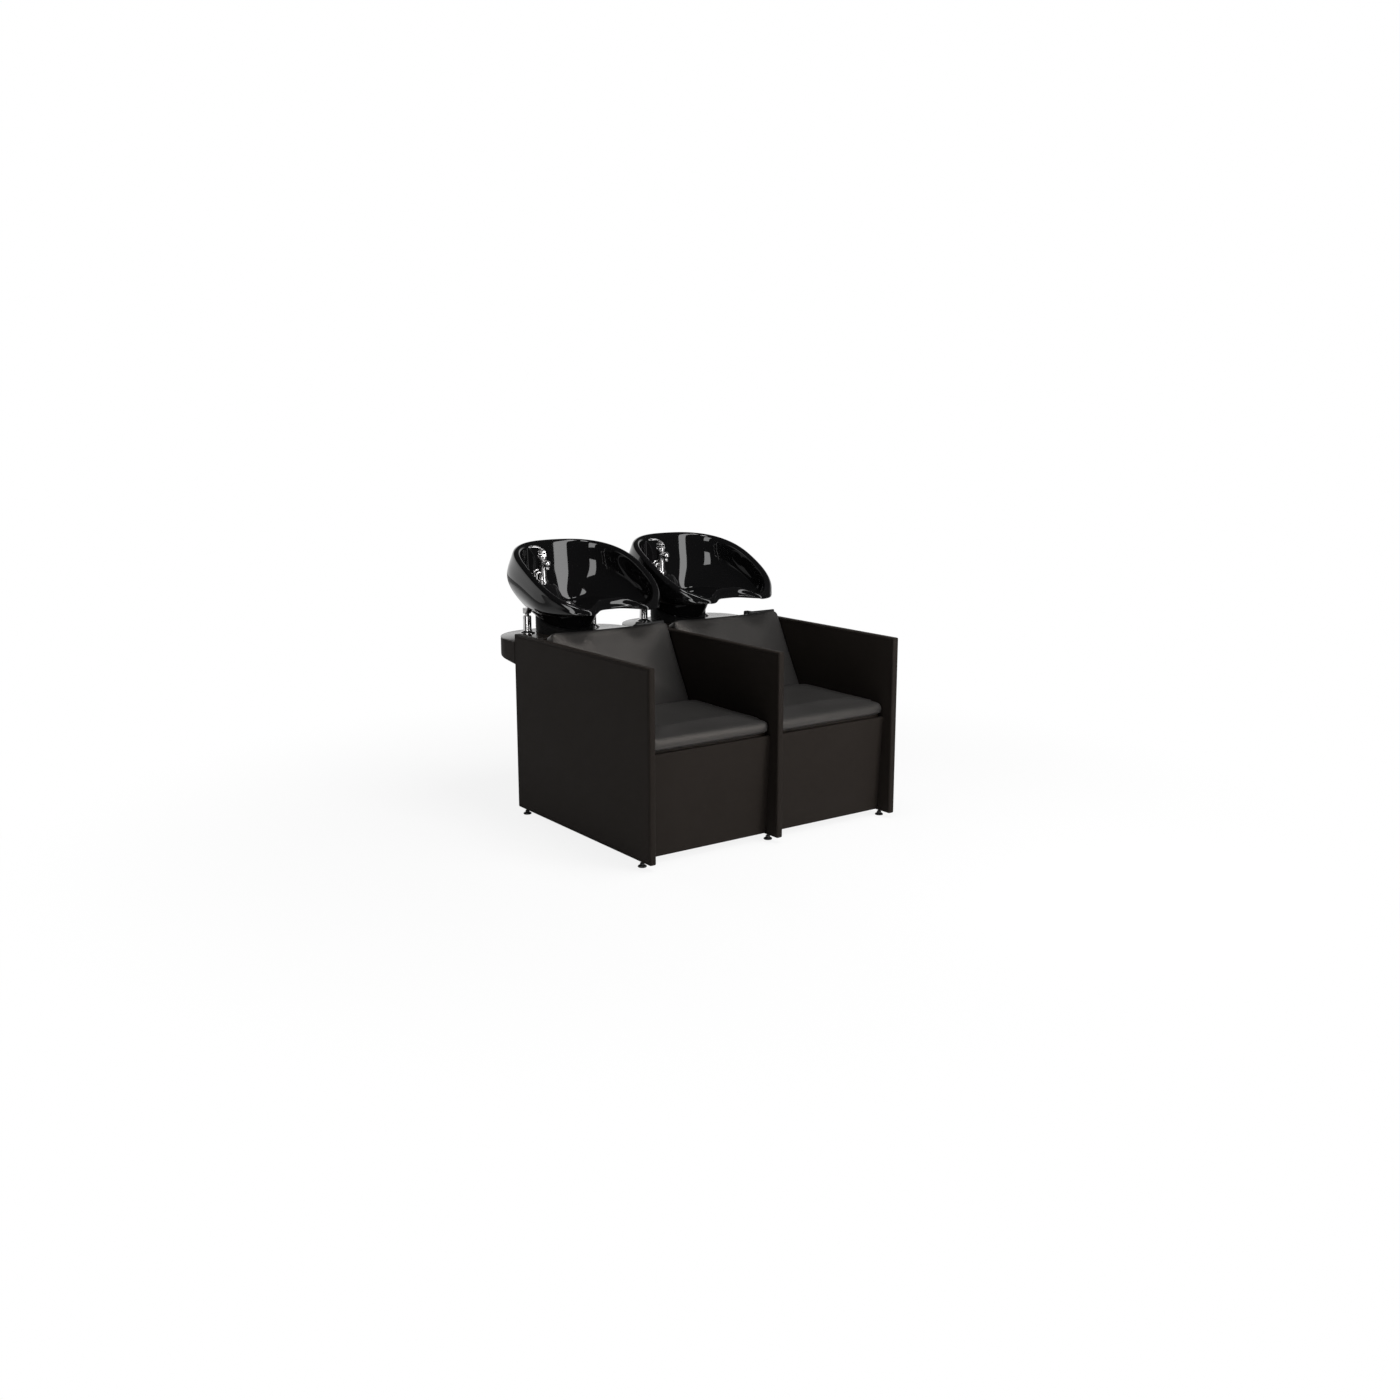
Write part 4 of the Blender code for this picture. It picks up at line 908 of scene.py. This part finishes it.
def skinned(rings):
    """Skin over rings of points, made by extruding a circle's edge from ring to ring."""
    bm = bmesh.new()
    ring = bmesh.ops.create_circle(bm, segments=len(rings[0]), radius=1.0)["verts"]
    for vert, point in zip(ring, rings[0]):
        vert.co = point
    order = {tuple(vert.co): index for index, vert in enumerate(ring)}
    first = edges = bm.edges[:]
    rows = [ring]
    for points in rings[1:]:
        made = bmesh.ops.extrude_edge_only(bm, edges=edges)["geom"]
        edges = [item for item in made if isinstance(item, bmesh.types.BMEdge)]
        verts = [item for item in made if isinstance(item, bmesh.types.BMVert)]
        verts.sort(key=lambda vert: order[tuple(vert.co)])
        for vert, point in zip(verts, points):
            vert.co = point
        order = {tuple(vert.co): index for index, vert in enumerate(verts)}
        edges = [edge for edge in edges if all(vert in verts for vert in edge.verts)]
        rows.append(verts)
    bmesh.ops.bridge_loops(bm, edges=list(first) + edges)
    bmesh.ops.recalc_face_normals(bm, faces=bm.faces)
    return bm, rows


def bowls():
    """Glazed bowls with a rolled lip, a neck notch and a moulded ledge for the mixer."""
    rings, inside = bowl_rings()
    for side in SIDES:
        node = f"{side}_bowl"
        seat_x = middle(f"{side}_waste_strainer").x
        bm, rows = skinned(rings)
        bm.verts.index_update()
        inner = [vert.index for row in rows[inside] for vert in row]
        made = piece(f"{node}_glazed", bm, "ceramic", None, node, smooth=70.0)
        made.vertex_groups.new(name="inside").add(inner, 1.0, "REPLACE")
        subdivided(made, 2)
        baked(made)
        bm = bmesh.new()
        bm.from_mesh(made.data)
        raise_ledge(bm)
        bmesh.ops.translate(bm, verts=bm.verts, vec=ACROSS * seat_x)
        bm.to_mesh(made.data)
        bm.free()
        made.vertex_groups.clear()
        made.data.shade_smooth()
        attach(made, f"{side}_basin")


def raise_ledge(bm):
    """Raise the mixer's ledge out of a bowl's floor and blend it into the wall."""
    weights = bm.verts.layers.deform.verify()
    end = 1 + LEDGE_BLEND
    close = [face for face in bm.faces if all(beyond_ledge(vert, weights) < end for vert in face.verts)]
    edges = {edge for face in close for edge in face.edges}
    bmesh.ops.subdivide_edges(bm, edges=list(edges), cuts=LEDGE_CUTS, use_grid_fill=True)
    reach = {vert: beyond_ledge(vert, weights) for vert in bm.verts}
    for vert, beyond in reach.items():
        vert.co.z += (LEDGE_PLACE.z - vert.co.z) * smoothstep(1 - min(1.0, max(0.0, beyond)))
    smoothed(bm, [vert for vert, beyond in reach.items() if -LEDGE_BLEND < beyond < end], LEDGE_PASSES)


def beyond_ledge(vert, weights):
    """How far a point of the bowl's inside lies beyond the mixer's ledge: 1 at the end of its fall."""
    if vert[weights].get(0, 0.0) < 0.5 or vert.co.z > LEDGE_PLACE.z:
        return math.inf
    beside = Vector((vert.co.x - LEDGE_PLACE.x, vert.co.y - LEDGE_PLACE.y)).length - LEDGE_RADIUS
    return beside / LEDGE_FALL


def bellows():
    """Ribbed rubber sleeves between the shelf and the bowl, taller at the rear to meet the sloping trunk."""
    height = TRUNK_PLACE.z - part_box("left_bellows")[0].z - BELLOWS_CLEAR
    profile = [(BELLOWS_BORE, 0.0), (BELLOWS_CREST, 0.0)]
    for index in range(BELLOWS_RIBS):
        profile += [(radius, (index + share) / BELLOWS_RIBS) for radius, share in BELLOWS_RIB]
    profile += [(BELLOWS_BORE, 1.0), (BELLOWS_BORE, 0.0)]
    for side in SIDES:
        node = f"{side}_bellows"
        base = Vector((middle(node).x, TRUNK_PLACE.y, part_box(node)[0].z))
        bm = spun([(radius, share * height) for radius, share in profile], base, BELLOWS_SEGMENTS)
        made = piece(f"{node}_sleeve", bm, "rubber", None, node, smooth=60.0)
        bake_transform(made)
        for vert in made.data.vertices:
            share = (vert.co.z - base.z) / height
            vert.co.z = base.z + share * (height + (vert.co.y - base.y) * TRUNK_SLOPE)


def posts():
    """Chrome posts on domed flanges, forked at the head round the eye of a boss under the bowl."""
    for side in SIDES:
        for mark in ("a", "b"):
            node = f"{side}_bowl_post_{mark}"
            pin = f"{side}_pivot_pin_{mark}"
            lug = f"{side}_tilt_lug_{mark}"
            low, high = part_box(node)
            pivot = middle(pin)
            bm = spun(headed(POST_HEAD, POST_FOOT, high.z - low.z), Vector((pivot.x, pivot.y, low.z)))
            made = piece(f"{node}_turned", bm, "chrome", "sofa", node)
            reach = Vector((FORK_WIDTH / 2, 2 * POST_RADIUS, 0.0))
            drilled(made, box(pivot - reach - UP * FORK_BELOW_PIVOT, pivot + reach + UP * FORK_ABOVE_PIVOT))
            bm = spun(chamfered(PIN_RADIUS, POST_RADIUS + PIN_PROUD, PIN_CHAMFER), pivot, 28, ACROSS)
            piece(f"{pin}_flush", bm, "steel", "sofa", pin)
            plate = LUG_THICKNESS / 2
            eye = spun(cylinder(LUG_RADIUS, plate, -plate), pivot, 40, ACROSS)
            beside = Vector((plate, LUG_RADIUS, 0.0))
            web = box(pivot - beside, pivot + beside + UP * LUG_HEIGHT)
            boss = spun(BOSS, pivot + UP * BOSS_RISE)
            piece(f"{lug}_boss", joined(eye, web, boss), "chrome", f"{side}_basin", lug)


def mixer():
    """Column mixers: body with a spout, turning cap, arched lever, ball-jointed spray and bent pipes."""
    for side in SIDES:
        basin = f"{side}_basin"
        body = f"{side}_mixer_body"
        low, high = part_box(body)
        cap_low, cap_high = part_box(f"{side}_mixer_cap")
        place = Vector(((cap_low.x + cap_high.x) / 2, (cap_low.y + cap_high.y) / 2, low.z))
        column = spun(headed(COLUMN_HEAD, COLUMN_FOOT, high.z - low.z), place)
        axis = place + UP * SPOUT_HEIGHT
        spout = spun(SPOUT, axis, 40, -BACK)
        piece(f"{body}_turned", joined(column, spout), "chrome", basin, body)
        spray(side, axis)
        lever(side, place)
        pipes(side, place)


def spray(side, axis):
    """Hand spray resting in the spout: a ball, a ringed nozzle and the tail in the socket."""
    node = f"{side}_spray_head"
    ball = axis - BACK * BALL_REACH
    globe = bmesh.new()
    bmesh.ops.create_uvsphere(globe, u_segments=40, v_segments=24, radius=BALL_RADIUS)
    everything = globe.verts[:] + globe.edges[:] + globe.faces[:]
    bmesh.ops.bisect_plane(
        globe, geom=everything, plane_co=BACK * BALL_FLAT, plane_no=BACK, clear_outer=True)
    bmesh.ops.translate(globe, verts=globe.verts, vec=ball)
    tail = spun(cylinder(TAIL_RADIUS, *TAIL_SPAN), ball, 28, BACK)
    nozzle = spun(NOZZLE, ball, 32, -UP)
    piece(f"{node}_chromed", joined(globe, tail, nozzle), "chrome", f"{side}_spray", node)


def lever(side, place):
    """Domed turning cap and the arched paddle that lifts on it."""
    cap = f"{side}_mixer_cap"
    node = f"{side}_mixer_lever"
    hub = Vector((place.x, place.y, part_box(cap)[0].z))
    pivot = hub + UP * LEVER_PIVOT
    shapes = [spun(DOME, hub)]
    for way in (-1.0, 1.0):
        aside = BACK * (way * EAR_ASIDE)
        shapes.append(spun(EAR, pivot + aside, 32, BACK * way))
        shapes.append(box(hub + aside + EAR_FOOT_LOW, hub + aside + EAR_FOOT_HIGH))
    piece(f"{cap}_domed", joined(*shapes), "chrome", f"{side}_mixer_head", cap)
    made = piece(f"{node}_paddle", paddle(pivot), "chrome", f"{side}_lever", node, smooth=80.0)
    subdivided(made, 2)
    baked(made)
    made.data.shade_smooth()
    pin = spun(cylinder(LEVER_PIN_RADIUS, LEVER_PIN_HALF, -LEVER_PIN_HALF), pivot, 24, BACK)
    barrel = spun(chamfered(BARREL_RADIUS, BARREL_HALF, BARREL_CHAMFER), pivot, 32, BACK)
    piece(f"{node}_pin", joined(pin, barrel), "chrome", f"{side}_lever")


def paddle(pivot):
    """Arched handle that thins towards its tip, as a coarse cage to be subdivided."""
    bm = box(-PADDLE_SIZE / 2, PADDLE_SIZE / 2)
    ends = PADDLE_SIZE.x / 2
    long_edges = [edge for edge in bm.edges if abs(edge.verts[0].co.x - edge.verts[1].co.x) > ends]
    bmesh.ops.subdivide_edges(bm, edges=long_edges, cuts=PADDLE_CUTS)
    for vert in bm.verts:
        share = 0.5 - vert.co.x / PADDLE_SIZE.x
        vert.co.y *= PADDLE_WAIST + (1 - PADDLE_WAIST) * math.sin(math.pi * min(1.0, share * 1.1))
        vert.co.z *= PADDLE_ROOT_HEIGHT - PADDLE_THINNING * share
        vert.co += PADDLE_PLACE + UP * (PADDLE_ARCH * math.sin(math.pi * share * 0.9))
    turn = Matrix.Rotation(PADDLE_TURN, 3, "Y")
    bmesh.ops.rotate(bm, verts=bm.verts, cent=(0.0, 0.0, 0.0), matrix=turn)
    bmesh.ops.translate(bm, verts=bm.verts, vec=pivot)
    return bm


def pipes(side, place):
    """Two bent chrome supply pipes beside the column, each with a nut on the ledge."""
    node = f"{side}_supply_pipe"
    low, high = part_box(node)
    shapes = []
    for back, lower in ((0.0, 0.0), (-PIPE_SPACING, PIPE_STEP)):
        start = Vector((low.x + PIPE_RADIUS, place.y + back, low.z))
        top = high.z - PIPE_RADIUS - lower
        bend = high.x - start.x - PIPE_STRAIGHT
        centre = Vector((start.x + bend, start.y, top - bend))
        turns = [math.pi / 2 * step / PIPE_STEPS for step in range(PIPE_STEPS + 1)]
        arc = [centre + Vector((-math.cos(turn), 0.0, math.sin(turn))) * bend for turn in turns]
        shapes.append(tube([start, *arc, Vector((high.x, start.y, top))], PIPE_RADIUS))
        shapes.append(spun(PIPE_NUT, start, 6))
    piece(f"{node}_bent", joined(*shapes), "chrome", f"{side}_basin", node)


def tube(route, radius):
    """Round tube along a route, closed at its ends."""
    curve = bpy.data.curves.new("route", "CURVE")
    curve.dimensions = "3D"
    curve.bevel_depth = radius
    curve.bevel_resolution = 6
    curve.use_fill_caps = True
    line = curve.splines.new("POLY")
    line.points.add(len(route) - 1)
    for point, spot in zip(line.points, route):
        point.co = (*spot, 1.0)
    holder = bpy.data.objects.new("route", curve)
    bpy.context.scene.collection.objects.link(holder)
    mesh = final_mesh(holder)
    bm = bmesh.new()
    bm.from_mesh(mesh)
    bpy.data.objects.remove(holder)
    bpy.data.meshes.remove(mesh)
    bmesh.ops.remove_doubles(bm, verts=bm.verts, dist=1e-6)
    bmesh.ops.recalc_face_normals(bm, faces=bm.faces)
    return bm


def feet():
    """Levelling feet: a soft-edged pad, a hexagon nut and a threaded stem."""
    for side in PANELS:
        for end in ("front", "rear"):
            node = f"{side}_{end}_foot"
            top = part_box(node)[1].z
            place = Vector((middle(node).x, middle(node).y, 0.0))
            pad = spun(FOOT_PAD, place, 40)
            nut = spun(FOOT_NUT, place, 6)
            thread = [(0.0, top)]
            for turn in range(THREAD_TURNS):
                height = top - STEM_CHAMFER - turn * THREAD_PITCH
                thread += [(THREAD_CREST, height), (THREAD_ROOT, height - THREAD_PITCH / 2)]
            stem = spun([*thread, (THREAD_CREST, STEM_FOOT), (0.0, STEM_FOOT)], place, 20)
            piece(f"{node}_moulded", joined(pad, nut, stem), "plastic", node, node)


def kept_nodes():
    """Nodes of the frame that keep their shape and only take a finish."""
    slots = {row["node"]: row["material_slot"] for row in frame["record"]["subparts"]}
    for name, node in frame["nodes"].items():
        if not node.hide_render:
            node.data.materials.clear()
            node.data.materials.append(SURFACES[slots[name]])


def lamp(name, place, target, size, power, seen=True, lights=True):
    """Rectangular studio light that faces a target: mirrored, falling on matt parts, or both."""
    light = bpy.data.lights.new(name, "AREA")
    light.shape = "RECTANGLE"
    light.size, light.size_y = size
    light.energy = power
    made = bpy.data.objects.new(name, light)
    made.location = place
    made.rotation_euler = (Vector(target) - Vector(place)).to_track_quat("-Z", "Y").to_euler()
    made.visible_glossy = seen
    made.visible_diffuse = lights
    bpy.context.scene.collection.objects.link(made)


def seen_rays(finish):
    """1 for the rays that show the surround: first those of the camera, then mirrored and bent ones."""
    kinds = ("Is Camera Ray", "Is Glossy Ray", "Is Transmission Ray")
    camera, glossy, through = [finish.add("ShaderNodeLightPath", None, None, kind) for kind in kinds]
    return camera, glossy + through


def eased(finish, value, low, high):
    """0 below one value, 1 above another and a smooth rise between them."""
    return finish.add("ShaderNodeMapRange", {"interpolation_type": "SMOOTHSTEP"}, {
        "Value": value, "From Min": low, "From Max": high})


def floor():
    """White paper floor that keeps the shadow near the unit and fades to plain white away from it."""
    bm = bmesh.new()
    bmesh.ops.create_circle(bm, cap_ends=True, segments=96, radius=FLOOR_RADIUS)
    mesh = bpy.data.meshes.new("studio_floor")
    bm.to_mesh(mesh)
    bm.free()
    made = bpy.data.objects.new("studio_floor", mesh)
    bpy.context.scene.collection.objects.link(made)
    paper = bpy.data.materials.new("floor_paper")
    finish = Finish(paper)
    place = finish.add("ShaderNodeTexCoord", None, None, "Object")
    away = finish.add("ShaderNodeVectorMath", {"operation": "LENGTH"}, {0: place}, "Value")
    camera, mirrored = seen_rays(finish)
    glow = PAPER_GLOW + (1 - PAPER_GLOW) * eased(finish, away, *PAPER_FADE)
    share = (camera + mirrored * PAPER_MIRRORED) * glow
    matt = finish.add("ShaderNodeBsdfDiffuse", None, {"Color": rgb(*PAPER_GREY)})
    white = finish.add("ShaderNodeEmission", None, {"Color": rgb(*WHITE), "Strength": 1.0})
    both = finish.add("ShaderNodeMixShader", None, {0: share, 1: matt, 2: white})
    finish.add("ShaderNodeOutputMaterial", None, {"Surface": both})
    mesh.materials.append(paper)


def surround():
    """White to the camera. Mirrored, it is a low white backdrop behind the unit in a dark room."""
    world = bpy.data.worlds.new("studio")
    bpy.context.scene.world = world
    finish = Finish(world)
    heading = finish.add("ShaderNodeTexCoord", None, None, "Generated")
    behind = finish.add("ShaderNodeSeparateXYZ", None, {0: heading}, "Y")
    rise = finish.add("ShaderNodeSeparateXYZ", None, {0: heading}, "Z")
    backdrop = eased(finish, behind, *BACKDROP_SIDE) * (1 - eased(finish, rise, *BACKDROP_TOP))
    room = finish.mixed(backdrop, rgb(*ROOM_GREY), rgb(*WHITE))
    camera, mirrored = seen_rays(finish)
    ambient = finish.mixed(mirrored, rgb(*AMBIENT_GREY), room)
    level = finish.mixed(camera, ambient, rgb(*WHITE))
    sky = finish.add("ShaderNodeBackground", None, {"Color": level, "Strength": 1.0})
    finish.add("ShaderNodeOutputWorld", None, {"Surface": sky})


def studio():
    """Floor, surround, the softboxes and spots that the bowls mirror, and fills that nothing mirrors."""
    floor()
    surround()
    for name, side, rise, size, power, lights in SOFTBOXES:
        heading = Vector((math.sin(math.radians(side)), -math.cos(math.radians(side)), 0.0))
        heading = heading * math.cos(math.radians(rise)) + UP * math.sin(math.radians(rise))
        lamp(name, BOWLS_MIDDLE + heading * SOFTBOX_DISTANCE, BOWLS_MIDDLE, size, power, lights=lights)
    for name, place, target, size, power in FILLS:
        lamp(name, place, target, size, power, seen=False)
    for name, place in SPOTS:
        lamp(name, place, BOWLS_MIDDLE, SPOT_SIZE, SPOT_POWER, lights=False)


def camera():
    """Camera at the photograph's place."""
    data = bpy.data.cameras.new("photo_camera")
    data.sensor_width = CAMERA_SENSOR
    data.lens = CAMERA_LENS
    made = bpy.data.objects.new("photo_camera", data)
    made.location = CAMERA_PLACE
    made.rotation_euler = [math.radians(turn) for turn in CAMERA_TURN]
    bpy.context.scene.collection.objects.link(made)
    bpy.context.scene.camera = made


camera()
studio()
side_panels()
aprons()
rear_panels()
seat_boards()
cushions()
back_caps()
shelves()
bowls()
bellows()
posts()
mixer()
feet()
kept_nodes()
bpy.context.scene.view_settings.view_transform = "Standard"
